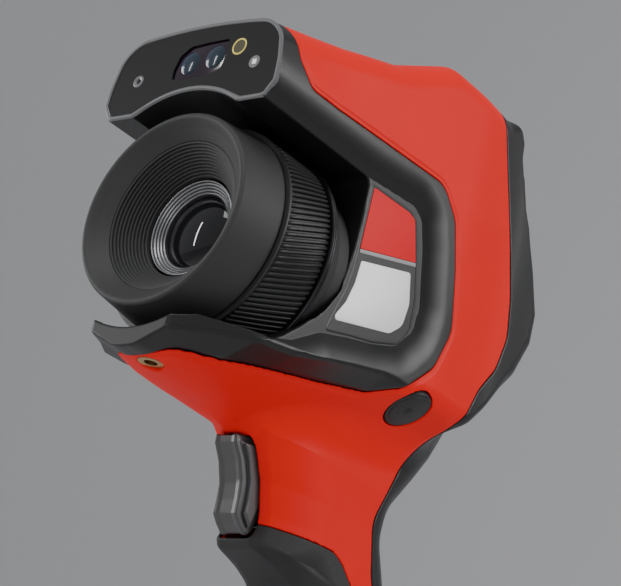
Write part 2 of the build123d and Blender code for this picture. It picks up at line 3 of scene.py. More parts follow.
import bmesh
import bpy
import numpy as np
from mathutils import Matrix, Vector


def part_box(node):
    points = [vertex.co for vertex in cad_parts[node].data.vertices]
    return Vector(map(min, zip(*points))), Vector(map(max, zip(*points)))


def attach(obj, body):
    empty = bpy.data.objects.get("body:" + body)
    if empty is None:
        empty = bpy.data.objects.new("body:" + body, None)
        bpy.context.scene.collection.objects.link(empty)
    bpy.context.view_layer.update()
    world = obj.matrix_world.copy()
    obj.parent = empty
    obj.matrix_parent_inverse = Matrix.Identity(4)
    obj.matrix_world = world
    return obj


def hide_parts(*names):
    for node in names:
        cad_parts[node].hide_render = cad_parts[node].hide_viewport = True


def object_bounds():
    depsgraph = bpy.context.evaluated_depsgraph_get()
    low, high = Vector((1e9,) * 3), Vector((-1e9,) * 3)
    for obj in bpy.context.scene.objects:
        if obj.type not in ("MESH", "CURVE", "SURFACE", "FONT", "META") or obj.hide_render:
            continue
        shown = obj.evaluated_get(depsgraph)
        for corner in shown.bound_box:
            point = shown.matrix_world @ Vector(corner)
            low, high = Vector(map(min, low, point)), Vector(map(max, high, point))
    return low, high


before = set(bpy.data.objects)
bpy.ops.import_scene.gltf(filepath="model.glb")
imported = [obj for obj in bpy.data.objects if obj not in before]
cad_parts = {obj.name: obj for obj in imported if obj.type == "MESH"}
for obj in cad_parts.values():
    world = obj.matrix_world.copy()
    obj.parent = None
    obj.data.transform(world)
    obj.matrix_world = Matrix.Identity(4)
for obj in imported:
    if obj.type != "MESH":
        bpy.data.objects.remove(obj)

import openvdb
from mathutils import Matrix, Vector
from mathutils.geometry import tessellate_polygon

CAD_BOX = [list(corner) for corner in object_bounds()]

# Shapes are worked out in the lens frame: millimetres, the origin on the lens axis in the plane
# of the hood's front edge, +Y towards the display. LENS is that origin in the row's frame.
HOOD_LOW, HOOD_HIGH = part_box("lens_hood")
LENS = np.array([(HOOD_LOW.x + HOOD_HIGH.x) / 2, HOOD_LOW.y, (HOOD_LOW.z + HOOD_HIGH.z) / 2])
MM = 0.001

HALF_WIDTH = 43.5
WALL = 2.4
TROUGH_R = 47.0
SEAM = 0.1          # half the gap between two mouldings
PANEL_X = 39.2      # the side panel's face
PLATE_X = 38.9      # where the plates on the side panel start

# The camera: its direction in degrees, its focal length in mm and its place from LENS in metres
AZIMUTH, ELEVATION, ROLL = 43.2, -20.87, 13.7
FOCAL_LENGTH = 127.5
CAMERA_FROM_LENS = (0.5488, -0.4974, -0.2999)


# --- Camera, floor and lights ---

def scene_object(name, data):
    item = bpy.data.objects.new(name, data)
    bpy.context.scene.collection.objects.link(item)
    return item


def make_camera():
    """Long lens, low and to the object's right, looking up, with the object leaning to the right."""
    azimuth, elevation, roll = math.radians(AZIMUTH), math.radians(ELEVATION), math.radians(ROLL)
    back = Vector((math.sin(azimuth) * math.cos(elevation), -math.cos(azimuth) * math.cos(elevation),
                   math.sin(elevation)))
    right = Vector((math.cos(azimuth), math.sin(azimuth), 0))
    up = back.cross(right)
    turned_right = right * math.cos(roll) + up * math.sin(roll)
    turned_up = up * math.cos(roll) - right * math.sin(roll)
    data = bpy.data.cameras.new("camera")
    data.sensor_width = 36.0
    data.lens = FOCAL_LENGTH
    data.clip_start = 0.05
    camera = scene_object("camera", data)
    rotation = Matrix((turned_right, turned_up, back)).transposed().to_4x4()
    camera.matrix_world = Matrix.Translation(Vector(LENS) + Vector(CAMERA_FROM_LENS)) @ rotation
    bpy.context.scene.camera = camera


def make_light(name, away, size, power, height=None):
    """A soft panel light that faces the middle of the object from away, in metres."""
    data = bpy.data.lights.new(name, "AREA")
    data.energy = power
    data.size = size
    if height:
        data.shape = "RECTANGLE"
        data.size_y = height
    light = scene_object(name, data)
    light.location = Vector(LENS) + Vector((0, 0.06, 0)) + Vector(away)
    light.rotation_euler = (-Vector(away)).to_track_quat("-Z", "Y").to_euler()


def make_lights():
    make_light("top_front", (0.35, -1.0, 1.5), 0.9, 15)
    make_light("right_rear", (1.35, 0.75, 0.75), 0.8, 14, height=0.6)
    make_light("left_fill", (-1.5, -0.6, 0.2), 0.5, 9, height=0.9)
    make_light("strip", (-0.62, -0.95, 0.30), 0.03, 1.6, height=0.5)
    make_light("low_front", (0.5, -1.3, -0.35), 0.8, 4)


def make_stage():
    """A pale floor well below the object, that sweeps up behind it into a wall, and a plain world."""
    floor_z = CAD_BOX[0][2] - 0.30
    mesh = bpy.data.meshes.new("floor")
    side, rise, bend_y, bend_r, steps = 9.0, 7.0, 1.6, 1.0, 12
    rows = [(-side, floor_z), (bend_y, floor_z)]
    for i in range(1, steps + 1):
        angle = math.pi / 2 * i / steps
        rows.append((bend_y + bend_r * math.sin(angle), floor_z + bend_r - bend_r * math.cos(angle)))
    rows.append((bend_y + bend_r, floor_z + rise))
    verts = [(x, y, z) for y, z in rows for x in (-side, side)]
    faces = [(2 * i, 2 * i + 1, 2 * i + 3, 2 * i + 2) for i in range(len(rows) - 1)]
    mesh.from_pydata(verts, [], faces)
    mesh.polygons.foreach_set("use_smooth", [True] * len(faces))
    floor = scene_object("floor", mesh)
    mesh.materials.append(plain_material("floor_paint", (0.62, 0.62, 0.63), 0.9))
    world = bpy.data.worlds.new("world")
    bpy.context.scene.world = world
    world.use_nodes = True
    set_inputs(world.node_tree.nodes["Background"], {"Color": (0.86, 0.87, 0.89, 1), "Strength": 0.55})


# --- Materials ---

MOTTLE_SCALE = 38.0
GRAIN_DEPTH = 0.0004


def set_inputs(node, values):
    for socket, value in values.items():
        node.inputs[socket].default_value = value


def plain_material(name, colour, roughness, metallic=0.0):
    material = bpy.data.materials.new(name)
    material.use_nodes = True
    shader = material.node_tree.nodes["Principled BSDF"]
    set_inputs(shader, {"Base Color": (*colour, 1), "Roughness": roughness, "Metallic": metallic})
    return material


def grained(name, colour, roughness, metallic=0.0, grain=1600.0, bump=0.05, mottle=0.08, spread=0.06,
            coat=0.0, coat_roughness=0.2, specular=0.5, stretch=(1, 1, 1)):
    """Moulded or machined finish: a fine grain in the bump, and a little variation in colour and gloss."""
    material = plain_material(name, colour, roughness, metallic)
    tree = material.node_tree
    shader = tree.nodes["Principled BSDF"]
    set_inputs(shader, {"Coat Weight": coat, "Coat Roughness": coat_roughness,
                        "Specular IOR Level": specular})
    place = tree.nodes.new("ShaderNodeTexCoord")
    scale = tree.nodes.new("ShaderNodeMapping")
    set_inputs(scale, {"Scale": stretch})
    tree.links.new(place.outputs["Object"], scale.inputs["Vector"])
    fine = noise(tree, scale, grain, 2.0)
    broad = noise(tree, scale, MOTTLE_SCALE, 3.0)
    dark = [c * (1 - mottle) for c in colour]
    light = [min(1.0, c * (1 + mottle)) for c in colour]
    blend = tree.nodes.new("ShaderNodeMix")
    blend.data_type = "RGBA"
    set_inputs(blend, {"A": (*dark, 1), "B": (*light, 1)})
    tree.links.new(broad.outputs["Fac"], blend.inputs["Factor"])
    tree.links.new(blend.outputs["Result"], shader.inputs["Base Color"])
    gloss = tree.nodes.new("ShaderNodeMapRange")
    set_inputs(gloss, {"To Min": roughness - spread, "To Max": roughness + spread})
    tree.links.new(fine.outputs["Fac"], gloss.inputs["Value"])
    tree.links.new(gloss.outputs["Result"], shader.inputs["Roughness"])
    relief = tree.nodes.new("ShaderNodeBump")
    set_inputs(relief, {"Strength": bump, "Distance": GRAIN_DEPTH})
    tree.links.new(fine.outputs["Fac"], relief.inputs["Height"])
    tree.links.new(relief.outputs["Normal"], shader.inputs["Normal"])
    return material


def noise(tree, vector, scale, detail):
    node = tree.nodes.new("ShaderNodeTexNoise")
    set_inputs(node, {"Scale": scale, "Detail": detail})
    tree.links.new(vector.outputs["Vector"], node.inputs["Vector"])
    return node


RED = (0.84, 0.010, 0.006)
MATERIALS = {
    "red": grained("red_moulding", RED, 0.46, bump=0.04, mottle=0.05, specular=0.12),
    "black": grained("black_moulding", (0.009, 0.009, 0.0095), 0.37, bump=0.16, grain=2600.0, spread=0.05,
                     specular=0.4),
    "rubber": grained("grip_skin", (0.016, 0.016, 0.017), 0.62, bump=0.5, grain=1900.0, spread=0.08),
    "hood": grained("hood_moulding", (0.03, 0.03, 0.031), 0.6, bump=0.14, grain=2400.0, specular=0.4),
    "gloss": grained("gloss_panel", (0.008, 0.008, 0.0085), 0.4, bump=0.02, spread=0.03, specular=0.17),
    "anodised": grained("black_anodised", (0.03, 0.03, 0.032), 0.34, metallic=0.8, bump=0.06, spread=0.08),
    "ring": grained("ribbed_rubber", (0.012, 0.012, 0.013), 0.5, bump=0.2, grain=2200.0),
    "bright": grained("bright_steel", (0.55, 0.56, 0.58), 0.25, metallic=1.0, bump=0.04, stretch=(1, 12, 1)),
    "brass": grained("machined_brass", (0.5, 0.32, 0.13), 0.34, metallic=1.0, bump=0.05, stretch=(1, 1, 9)),
    "label": grained("silver_label", (0.88, 0.86, 0.87), 0.42, metallic=0.1, bump=0.06, mottle=0.04),
    "board": grained("circuit_board", (0.01, 0.12, 0.05), 0.45, bump=0.2, grain=700.0, mottle=0.3),
    "alloy": grained("plain_alloy", (0.6, 0.61, 0.63), 0.38, metallic=1.0, bump=0.08, stretch=(9, 1, 1)),
    "inner": grained("inner_moulding", (0.045, 0.045, 0.048), 0.55, bump=0.1),
    "key": grained("silicone_key", (0.03, 0.03, 0.032), 0.6, bump=0.2, grain=2200.0),
    "badge": grained("badge_red", (0.8, 0.016, 0.022), 0.5, bump=0.05, mottle=0.04, specular=0.12),
    # The trigger is black plastic painted a lighter grey (0.06 against the frame's 0.009): a painted
    # highlight for the light on the pad's front.
    "pad": grained("trigger_painted_highlight", (0.06, 0.06, 0.061), 0.32, bump=0.1, grain=2400.0),
    "strip": grained("badge_edge", (0.33, 0.32, 0.32), 0.5, bump=0.05),
    "yellow": grained("yellow_print", (0.75, 0.62, 0.12), 0.45, bump=0.02),
    "olive": grained("olive_print", (0.045, 0.038, 0.006), 0.4, bump=0.02),
    "cup": grained("lamp_cup", (0.17, 0.17, 0.175), 0.3, metallic=0.3, bump=0.04),
    # The visor rim is black plastic painted mid-grey (0.13 against 0.009): a painted highlight for the light
    # along the rim's chamfer.
    "edge": grained("visor_edge_painted_highlight", (0.13, 0.13, 0.134), 0.36, bump=0.06),
    "metal": grained("machined_ring", (0.27, 0.27, 0.28), 0.34, metallic=0.9, bump=0.05, spread=0.08),
    # Near-black finish for the hexagon sockets: painted shade for the recesses, which are drawn as flat
    # plates.
    "pit": grained("socket_shadow", (0.002, 0.002, 0.002), 0.6, bump=0.02),
    "window": grained("tinted_window", (0.012, 0.003, 0.012), 0.1, bump=0.0, spread=0.02),
    "screen": grained("display_glass", (0.006, 0.006, 0.007), 0.06, bump=0.0, spread=0.02, coat=0.6,
                      coat_roughness=0.03),
}


def glass_material(name, tint, roughness, coating, index):
    """Dark coated optic: a deep base and a tinted clear coat. Its base colour is painted lighter, towards the
    coating's colour, where the surface is seen at a glancing angle: a painted sheen.
    """
    material = plain_material(name, tint, roughness)
    tree = material.node_tree
    shader = tree.nodes["Principled BSDF"]
    set_inputs(shader, {"IOR": index, "Coat Weight": 0.4, "Coat Roughness": 0.02,
                        "Coat Tint": (*coating, 1)})
    # Painted sheen: the base colour runs from the tint to the coating's colour as the surface turns away from
    # the view.
    rim = tree.nodes.new("ShaderNodeLayerWeight")
    rim.inputs["Blend"].default_value = 0.35
    painted_sheen = tree.nodes.new("ShaderNodeValToRGB")
    painted_sheen.color_ramp.elements[0].color = (*tint, 1)
    painted_sheen.color_ramp.elements[1].color = (*coating, 1)
    painted_sheen.color_ramp.elements[1].position = 0.95
    tree.links.new(rim.outputs["Facing"], painted_sheen.inputs["Fac"])
    tree.links.new(painted_sheen.outputs["Color"], shader.inputs["Base Color"])
    return material


def lamp_material():
    material = grained("lamp_lens", (0.75, 0.76, 0.74), 0.2, bump=0.05)
    shader = material.node_tree.nodes["Principled BSDF"]
    set_inputs(shader, {"Emission Color": (1, 1, 0.96, 1), "Emission Strength": 0.25})
    return material


MATERIALS["front_glass"] = glass_material("infrared_glass", (0.004, 0.004, 0.005), 0.03,
                                          (0.03, 0.03, 0.036), 1.5)
MATERIALS["small_glass"] = glass_material("small_optic", (0.010, 0.030, 0.030), 0.15, (0.02, 0.04, 0.12), 1.6)
MATERIALS["lamp"] = lamp_material()


# --- Outlines and distance fields ---

def rounded_outline(corners, arc_steps=8):
    """Points along a closed outline whose corners are (u, v, radius), with each corner as an arc."""
    points = []
    count = len(corners)
    for i, (u, v, radius) in enumerate(corners):
        here = np.array([u, v], float)
        before = np.array(corners[i - 1][:2], float) - here
        after = np.array(corners[(i + 1) % count][:2], float) - here
        in_length, out_length = np.hypot(*before), np.hypot(*after)
        before, after = before / in_length, after / out_length
        half = math.acos(max(-1.0, min(1.0, float(before @ after)))) / 2
        reach = min(radius / math.tan(half), 0.48 * in_length, 0.48 * out_length)
        radius = reach * math.tan(half)
        if radius < 0.05 or half > 1.56:
            points.append(tuple(here))
            continue
        bisector = (before + after) / np.hypot(*(before + after))
        centre = here + bisector * radius / math.sin(half)
        start = here + before * reach - centre
        turn = math.pi - 2 * half
        sign = 1.0 if (before[0] * after[1] - before[1] * after[0]) < 0 else -1.0
        for k in range(arc_steps + 1):
            angle = sign * turn * k / arc_steps
            c, s = math.cos(angle), math.sin(angle)
            points.append((centre[0] + c * start[0] - s * start[1], centre[1] + s * start[0] + c * start[1]))
    return np.array(points)


def signed_area(points):
    """The area inside an outline, above zero where it runs anticlockwise."""
    ahead = np.roll(points, -1, 0)
    return 0.5 * np.sum(points[:, 0] * ahead[:, 1] - ahead[:, 0] * points[:, 1])


def inward_normals(outline):
    """The direction into an anticlockwise outline at each of its points."""
    tangent = np.roll(outline, -1, 0) - np.roll(outline, 1, 0)
    tangent /= np.hypot(*tangent.T)[:, None]
    return np.stack([-tangent[:, 1], tangent[:, 0]], -1)


def without_repeats(outline):
    return outline[np.hypot(*(outline - np.roll(outline, 1, 0)).T) > 1e-4]


def regular(radius, sides, corner=0.0):
    """A regular outline about the origin, or a circle where it has many sides."""
    angles = 2 * math.pi * np.arange(sides) / sides
    return [(radius * math.cos(a), radius * math.sin(a), corner) for a in angles]


def rectangle(half_u, half_v, corner):
    return [(-half_u, -half_v, corner), (half_u, -half_v, corner), (half_u, half_v, corner),
            (-half_u, half_v, corner)]


def band_faces(rows, count, closed=False):
    """Quads between rings of count points; closed joins the last ring to the first."""
    faces = []
    for k in range(rows if closed else rows - 1):
        ahead = (k + 1) % rows
        for i in range(count):
            j = (i + 1) % count
            faces.append((k * count + i, k * count + j, ahead * count + j, ahead * count + i))
    return faces


class Outline:
    """The signed distance to a closed outline, negative inside, read from a fine grid."""

    STEP = 0.35

    def __init__(self, corners, margin=9.0):
        points = rounded_outline(corners)
        self.low = points.min(0) - margin
        size = np.ceil((points.max(0) + margin - self.low) / self.STEP).astype(int) + 2
        u = self.low[0] + self.STEP * np.arange(size[0])[:, None]
        v = self.low[1] + self.STEP * np.arange(size[1])[None, :]
        nearest = np.full((size[0], size[1]), 1e9)
        inside = np.zeros((size[0], size[1]), bool)
        for (au, av), (bu, bv) in zip(points, np.roll(points, -1, 0)):
            eu, ev = bu - au, bv - av
            t = np.clip(((u - au) * eu + (v - av) * ev) / (eu * eu + ev * ev + 1e-12), 0, 1)
            nearest = np.minimum(nearest, (u - au - t * eu) ** 2 + (v - av - t * ev) ** 2)
            if av != bv:
                crosses = ((av <= v) & (v < bv)) | ((bv <= v) & (v < av))
                inside ^= crosses & (u < au + (v - av) * eu / ev)
        self.grid = (np.sqrt(nearest) * np.where(inside, -1, 1)).astype(np.float32)
        self.size = size

    def __call__(self, u, v):
        far_i, far_j = (u - self.low[0]) / self.STEP, (v - self.low[1]) / self.STEP
        i, j = np.clip(far_i, 0, self.size[0] - 1.001), np.clip(far_j, 0, self.size[1] - 1.001)
        beyond = (np.abs(far_i - i) + np.abs(far_j - j)) * self.STEP
        i0, j0 = i.astype(np.int32), j.astype(np.int32)
        fi, fj = i - i0, j - j0
        g = self.grid
        low = g[i0, j0] * (1 - fi) + g[i0 + 1, j0] * fi
        high = g[i0, j0 + 1] * (1 - fi) + g[i0 + 1, j0 + 1] * fi
        return low * (1 - fj) + high * fj + beyond


def cut_round(a, b, r):
    """What is inside both a and b, with the edge between them rounded to radius r."""
    a, b = np.broadcast_arrays(a, b)
    corner = np.sqrt(np.maximum(r + a, 0) ** 2 + np.maximum(r + b, 0) ** 2)
    return np.minimum(-r, np.maximum(a, b)) + corner


def join_round(a, b, r):
    """What is inside a or b, with the inner corner between them filled to radius r."""
    return -cut_round(-a, -b, r)


def cut_soft(a, b, k):
    """What is inside both a and b, with a shallow crease between them softened over k."""
    h = np.maximum(k - np.abs(a - b), 0) / k
    return np.maximum(a, b) + h * h * k / 4


def smooth_step(x, low, high):
    t = np.clip((x - low) / (high - low), 0, 1)
    return t * t * (3 - 2 * t)


RELAX_PASSES = 2


def sdf_mesh(name, field, low, high, voxel):
    """A mesh of the surface where the field is zero, its points moved onto that surface."""
    low = np.array(low, float)
    size = np.ceil((np.array(high, float) - low) / voxel).astype(int) + 1
    axes = [low[i] + voxel * np.arange(size[i], dtype=np.float32) for i in range(3)]
    x, y, z = np.meshgrid(*axes, indexing="ij", sparse=True)
    values = np.broadcast_to(field(x, y, z), tuple(size)).astype(np.float32)
    band = 3 * voxel
    grid = openvdb.FloatGrid(band)
    grid.copyFromArray(np.ascontiguousarray(np.clip(values, -band, band)))
    points, quads = grid.convertToQuads(0.0)
    points = low + voxel * np.array(points, float)
    for i in range(RELAX_PASSES):
        points = settle(points, field, voxel)
        points = relax(points, quads, field)
    points = settle(points, field, voxel)
    return mesh_object(name, points, quads, field_normals(points, field))


def gradient(points, field, step=0.05):
    out = np.empty_like(points)
    for axis in range(3):
        shift = np.zeros(3)
        shift[axis] = step
        ahead, behind = points + shift, points - shift
        out[:, axis] = (field(*ahead.T) - field(*behind.T)) / (2 * step)
    return out


def field_normals(points, field):
    g = gradient(points, field)
    return g / np.maximum(np.linalg.norm(g, axis=1, keepdims=True), 1e-6)


def settle(points, field, voxel):
    value = field(*points.T)
    g = gradient(points, field)
    step = g * (value / np.maximum((g * g).sum(1), 0.05))[:, None]
    length = np.maximum(np.linalg.norm(step, axis=1, keepdims=True), 1e-9)
    return points - step * np.minimum(1.0, 0.8 * voxel / length)


def relax(points, quads, field):
    """Evens out the points along the surface."""
    total = np.zeros_like(points)
    count = np.zeros(len(points))
    for k in range(4):
        a, b = quads[:, k], quads[:, (k + 1) % 4]
        for i, j in ((a, b), (b, a)):
            for axis in range(3):
                total[:, axis] += np.bincount(i, points[j, axis], len(points))
            count += np.bincount(i, minlength=len(points))
    move = (total / np.maximum(count, 1)[:, None] - points) * 0.5
    n = field_normals(points, field)
    move -= n * (move * n).sum(1)[:, None]
    return points + move


def mesh_object(name, points, faces, normals=None):
    """A mesh piece from lens-frame points in millimetres."""
    mesh = bpy.data.meshes.new(name)
    points = np.asarray(points, float) * MM + LENS
    faces = np.asarray(faces, np.int32)
    corners = faces.shape[1]
    mesh.vertices.add(len(points))
    mesh.vertices.foreach_set("co", points.ravel())
    mesh.loops.add(faces.size)
    mesh.loops.foreach_set("vertex_index", faces.ravel())
    mesh.polygons.add(len(faces))
    mesh.polygons.foreach_set("loop_start", np.arange(0, faces.size, corners, dtype=np.int32))
    mesh.polygons.foreach_set("use_smooth", np.ones(len(faces), bool))
    mesh.update()
    mesh.validate()
    if normals is not None:
        mesh.normals_split_custom_set_from_vertices(normals)
    return scene_object(name, mesh)


def finish_piece(piece, material, slot, *nodes, body="housing"):
    """Gives a piece its finish and body, and hides the CAD nodes that it stands for."""
    piece.data.materials.clear()
    piece.data.materials.append(MATERIALS[material])
    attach(piece, body)
    if nodes:
        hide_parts(*nodes)
    return piece


# --- Housing shape ---

# Outlines seen from the side, as (y, z, corner radius)
HEAD = Outline([
    (-60, 74.0, 0), (-3, 74.6, 0), (38, 85.2, 30), (67.7, 94.6, 25), (101, 112.4, 16), (152.3, 112.0, 6),
    (156.2, 105.5, 4), (156.4, 98.5, 6), (163.4, 80.5, 8), (169.5, 73.5, 6), (186.2, 37.5, 9),
    (186.2, 23.5, 9), (179, 7, 14), (149, -29, 12), (130, -58, 8), (104, -63, 20), (67, -66, 10),
    (45, -58.6, 20), (28, -57, 20), (6, -54.9, 6), (-60, -53.5, 0)])
NECK = Outline([
    (118, 44, 0), (112, 20, 5), (102, 0, 20), (92, -27, 20), (82, -38, 14), (72, -48, 12),
    (65.8, -60.5, 6), (70.4, -68, 14), (75.4, -76.6, 14), (79.2, -88, 10), (79.8, -93.5, 4),
    (77.6, -98.6, 1.8), (80.5, -101.4, 2.5), (93, -103.4, 8), (105.0, -108, 10), (113.4, -124, 20),
    (130.4, -165, 20), (147.1, -205, 0), (193, -205, 0), (179.8, -165, 20), (167, -125, 20),
    (161.8, -109, 12), (158.8, -101, 12), (155.2, -91, 12), (147.4, -75, 14), (147.6, -64, 14),
    (158.2, -48, 14), (164.6, -37, 14), (168.5, -27, 20), (178.4, 0, 20), (185.2, 20, 12), (186, 44, 0)])
# The neck's half width at each level, as (z, x)
NECK_HALF = [
    (-200, 19.6), (-165, 19.4), (-125, 19.1), (-109, 18.8), (-76, 18.6), (-68, 18.8), (-60, 19.2),
    (-48, 19.4), (-38, 19.8), (-27, 20.5), (0, 22), (20, 25), (40, 26)]
# The neck's front at each level, and how much narrower it is there on each side, as (z, y, taper)
NECK_FRONT = [
    (-200, 145, 3.0), (-165, 130.4, 3.0), (-124, 113.4, 4.0), (-108, 105, 5.0), (-103, 92, 7.0),
    (-100, 80, 8.6), (-93, 79.6, 8.8), (-88, 79, 8.8), (-76.5, 75.4, 8.8), (-68, 70.6, 8.8),
    (-60, 66.5, 8.8), (-48, 72, 7.5), (-38, 82, 5.0), (-27, 92, 3.0), (0, 102, 3.0), (24, 113, 3.0)]
LEAN = math.radians(23.0)
GRIP_DOWN = np.array([0.0, math.sin(LEAN), -math.cos(LEAN)])
GRIP_BASE = np.array([0.0, 155.0, -168.0])
FOOT = 12.0
PARTING = Outline([
    (135.3, 160, 0), (135.3, 105.3, 20), (148.1, 72.7, 30), (161.6, 33.9, 14), (164.8, 18, 14),
    (161.3, 2.9, 14), (153.2, -9.2, 14), (145.5, -28, 14), (138.4, -52.6, 14), (131.9, -72, 14),
    (138, -92, 14), (145, -106, 14), (187, -205, 0), (320, -205, 0), (320, 160, 0)])
BUMPER = Outline([
    (-60, 160, 0), (4, 160, 0), (4, 71, 6), (8.6, 60, 6), (16.6, 52.3, 6), (33, 52.5, 10),
    (101, 55.6, 12), (112, 45, 9), (118.3, 26.9, 20), (124.6, 3, 14), (118, -15.1, 14),
    (104.5, -28.6, 16), (91.5, -35.4, 12), (68.1, -40.8, 30), (43.9, -45.9, 30), (25.4, -49.8, 20),
    (14.4, -51, 8), (8, -52.2, 4), (6.5, -70, 3), (6.5, -120, 0), (-60, -120, 0)])
PANEL = Outline([
    (-60, 38.9, 0), (62.7, 39.4, 40), (90.4, 41.6, 5), (96.4, 38.6, 5), (100.9, 27.5, 20), (106.4, 6, 10),
    (105.6, -4.5, 9), (97.5, -14.6, 10), (84, -19.4, 20), (71.4, -22.6, 20), (54.7, -27.5, 14),
    (41, -36.5, 10), (31, -39.8, 6), (-60, -39.8, 0)], margin=30.0)
THROAT = Outline([
    (-60, 39.2, 0), (62.6, 39.2, 3), (63.2, 24, 20), (63, 9, 20), (61.3, -4, 20), (57.6, -12.6, 12),
    (50.6, -22.9, 14), (44, -29.8, 14), (36.5, -36.6, 5), (31, -40.2, 5), (-60, -40.2, 0)])

# Planes that cut the underside and the lip: a point and an outward normal for the +X side
PLUG_CENTRE = np.array([35.5, 117.8, -32.4])
PLUG_NORMAL = np.array([0.56, 0.11, -0.82]) / np.linalg.norm([0.56, 0.11, -0.82])
UNDERSIDE = (PLUG_CENTRE, PLUG_NORMAL)
BOW = ((18, 10.3, -50.7), (0.42, -0.13, -0.90))
LIP_WALL = ((18.7, -0.6, 0), (0.796, -0.604, 0.0))
# The lip's lower face, which stands proud of the underside: its inner edge (y, x, z) and its slope
LIP_FACE = [
    (0, 12, -51.4, 0.44), (14.4, 17.5, -50.4, 0.44), (25.4, 25, -49.4, 0.42), (43.9, 30, -45.7, 0.39),
    (56, 31.5, -43.4, 0.47), (68.1, 33, -40.8, 0.61), (83, 35, -37.6, 0.82), (91, 36, -35.6, 0.92),
    (104, 43.5, -28.4, 1.0), (130, 43.5, -28.4, 1.0)]


def plane_field(side, y, z, plane):
    """Above zero outside a plane that is given by a point and an outward normal."""
    (px, py, pz), normal = plane
    nx, ny, nz = np.array(normal) / np.linalg.norm(normal)
    return (side - px) * nx + (y - py) * ny + (z - pz) * nz


def neck_field(x, y, z):
    """The neck and grip's outer skin, narrower at the front, behind the trigger."""
    level, half = np.array(NECK_HALF, float).T
    front_z, front_y, taper = np.array(NECK_FRONT, float).T
    depth = np.clip((y - np.interp(z, front_z, front_y)) / 30, 0, 1)
    side = np.abs(x) - np.interp(z, level, half) + np.interp(z, front_z, taper) * (1 - depth) ** 2
    r = 3.5 + 11 * smooth_step(depth, 0.3, 0.9)
    return np.maximum(cut_round(NECK(y, z), side * 0.92, r), z - 24)


def half_width(y, z):
    """How far the head's side stands out: upright low down, leaning in above, narrower to the rear."""
    lean = 0.24 - 0.17 * smooth_step(y, -3, 60)
    taper = 4.2 * smooth_step(y, 118, 158) + 1.0 * smooth_step(y, 160, 182)
    return HALF_WIDTH - lean * 0.5 * (np.sqrt((z - 54) ** 2 + 16) + (z - 54)) - taper


def head_field(x, y, z):
    """The head's outer skin, before its underside is sloped."""
    side = np.abs(x)
    crown = 2.2 * (side / 32) ** 2 * smooth_step(z, 50, 72)
    r = 10 - 6.2 * smooth_step(y, 143, 152) + 3.8 * smooth_step(y, 158, 172)
    head = cut_round(HEAD(y, z + crown), side - half_width(y, z), r)
    return np.where(z < 0, cut_round(head, plane_field(side, y, z, LIP_WALL), 2.0), head)


def envelope(x, y, z):
    """The red and rear shells' outer skin."""
    side = np.abs(x)
    low = cut_soft(plane_field(side, y, z, UNDERSIDE), plane_field(side, y, z, BOW), 4.0)
    head = cut_round(head_field(x, y, z), low, 4.0)
    return join_round(head, neck_field(x, y, z), 9.5 - 9 * smooth_step(z, -22, 6))


def frame_envelope(x, y, z):
    """The black frame's outer skin, with the lip's lower face."""
    side = np.abs(x)
    edge_y, edge_x, edge_z, slope = np.array(LIP_FACE, float).T
    slant = np.interp(y, edge_y, slope)
    level = np.interp(y, edge_y, edge_z) + slant * (side - np.interp(y, edge_y, edge_x))
    low = (level - z) / np.sqrt(1.05 + slant ** 2)
    head = head_field(x, y, z)
    return np.where(z < 0, cut_round(head, low, 1.2), head)


def lens_radius(x, z):
    return np.sqrt(x * x + z * z)


# The open space behind the lens flange narrows to a bowl, as (y, radius)
BOWL = [(46, TROUGH_R), (50.6, 45.3), (54.8, 43.0), (57.7, 41.1), (61.1, 39.4), (63.2, 34.0)]
BOWL_END = 62.3


def throat(x, y, z):
    """The open space round the lens."""
    level, radius = np.array(BOWL, float).T
    trough = np.maximum((lens_radius(x, z) - np.interp(y, level, radius)) * 0.85, y - BOWL_END)
    return np.minimum(THROAT(y, z), trough)


CHAMFER_SLOPE = 0.66
VISOR_FRONT, LIP_FRONT = -2.75, -0.6
PANEL_INSET = 1.5       # the glossy panel's pocket, from the visor's outline


def panel_slope(x, y, z):
    """The chamfer that runs round the inside of the C, and the recessed side panel that it ends on."""
    return (np.abs(x) - PANEL_X - CHAMFER_SLOPE * np.maximum(PANEL(y, z), 0)) * 0.835


def front_plane(y, z):
    """Above zero in front of the visor's arm and of the lip."""
    return np.where(z > 0, VISOR_FRONT, LIP_FRONT) - y


def visor_face(x, z):
    """The visor's front outline, negative inside."""
    edge = np.maximum(head_field(x, 0 * x, z), panel_slope(x, 0 * x, z))
    return np.maximum(edge, -np.minimum(THROAT(0 * z, z), lens_radius(x, z) - TROUGH_R))


PROUD_END = 104.0       # where the lip's lower face stops standing proud
THROAT_WALL = 2.6
HOLLOW_HALF = 36.2


def frame_field(x, y, z):
    """The black C-shaped frame, hollow behind its skin."""
    outer = frame_envelope(x, y, z)
    space = throat(x, y, z)
    front = front_plane(y, z)
    lip_y, lip_x = np.array(LIP_FACE, float).T[:2]
    side = np.abs(x)
    proud = np.maximum(-plane_field(side, y, z, UNDERSIDE), np.interp(y, lip_y, lip_x) - 1.5 - side)
    proud = np.where(z < -12, np.maximum(proud, y - PROUD_END), 9.0)
    solid = cut_round(outer, panel_slope(x, y, z), 3.0)
    solid = cut_round(solid, np.minimum(BUMPER(y, z), proud) + SEAM, 0.7)
    solid = cut_round(solid, -space, 0.6)
    solid = cut_round(solid, front, 0.9)
    hollow = np.maximum(np.maximum(outer + WALL, THROAT_WALL - space), side - HOLLOW_HALF)
    hollow = np.maximum(hollow, front + 6.0)
    solid = np.maximum(solid, -hollow)
    pocket = np.maximum(visor_face(x, z) + PANEL_INSET, y + 1.4)
    behind = np.maximum(visor_face(x, z) + 4.0, np.abs(y) - 6.0)
    solid = np.maximum(solid, -np.where(z > 0, np.minimum(pocket, behind), 9.0))
    return np.maximum(solid, -tripod_hole(x, y, z))


TRIPOD_Y, TRIPOD_TOP, TRIPOD_R = 14.5, -46.0, 5.0


def tripod_hole(x, y, z):
    radius = np.sqrt(x * x + (y - TRIPOD_Y) ** 2)
    return np.maximum(radius - TRIPOD_R, z - TRIPOD_TOP)


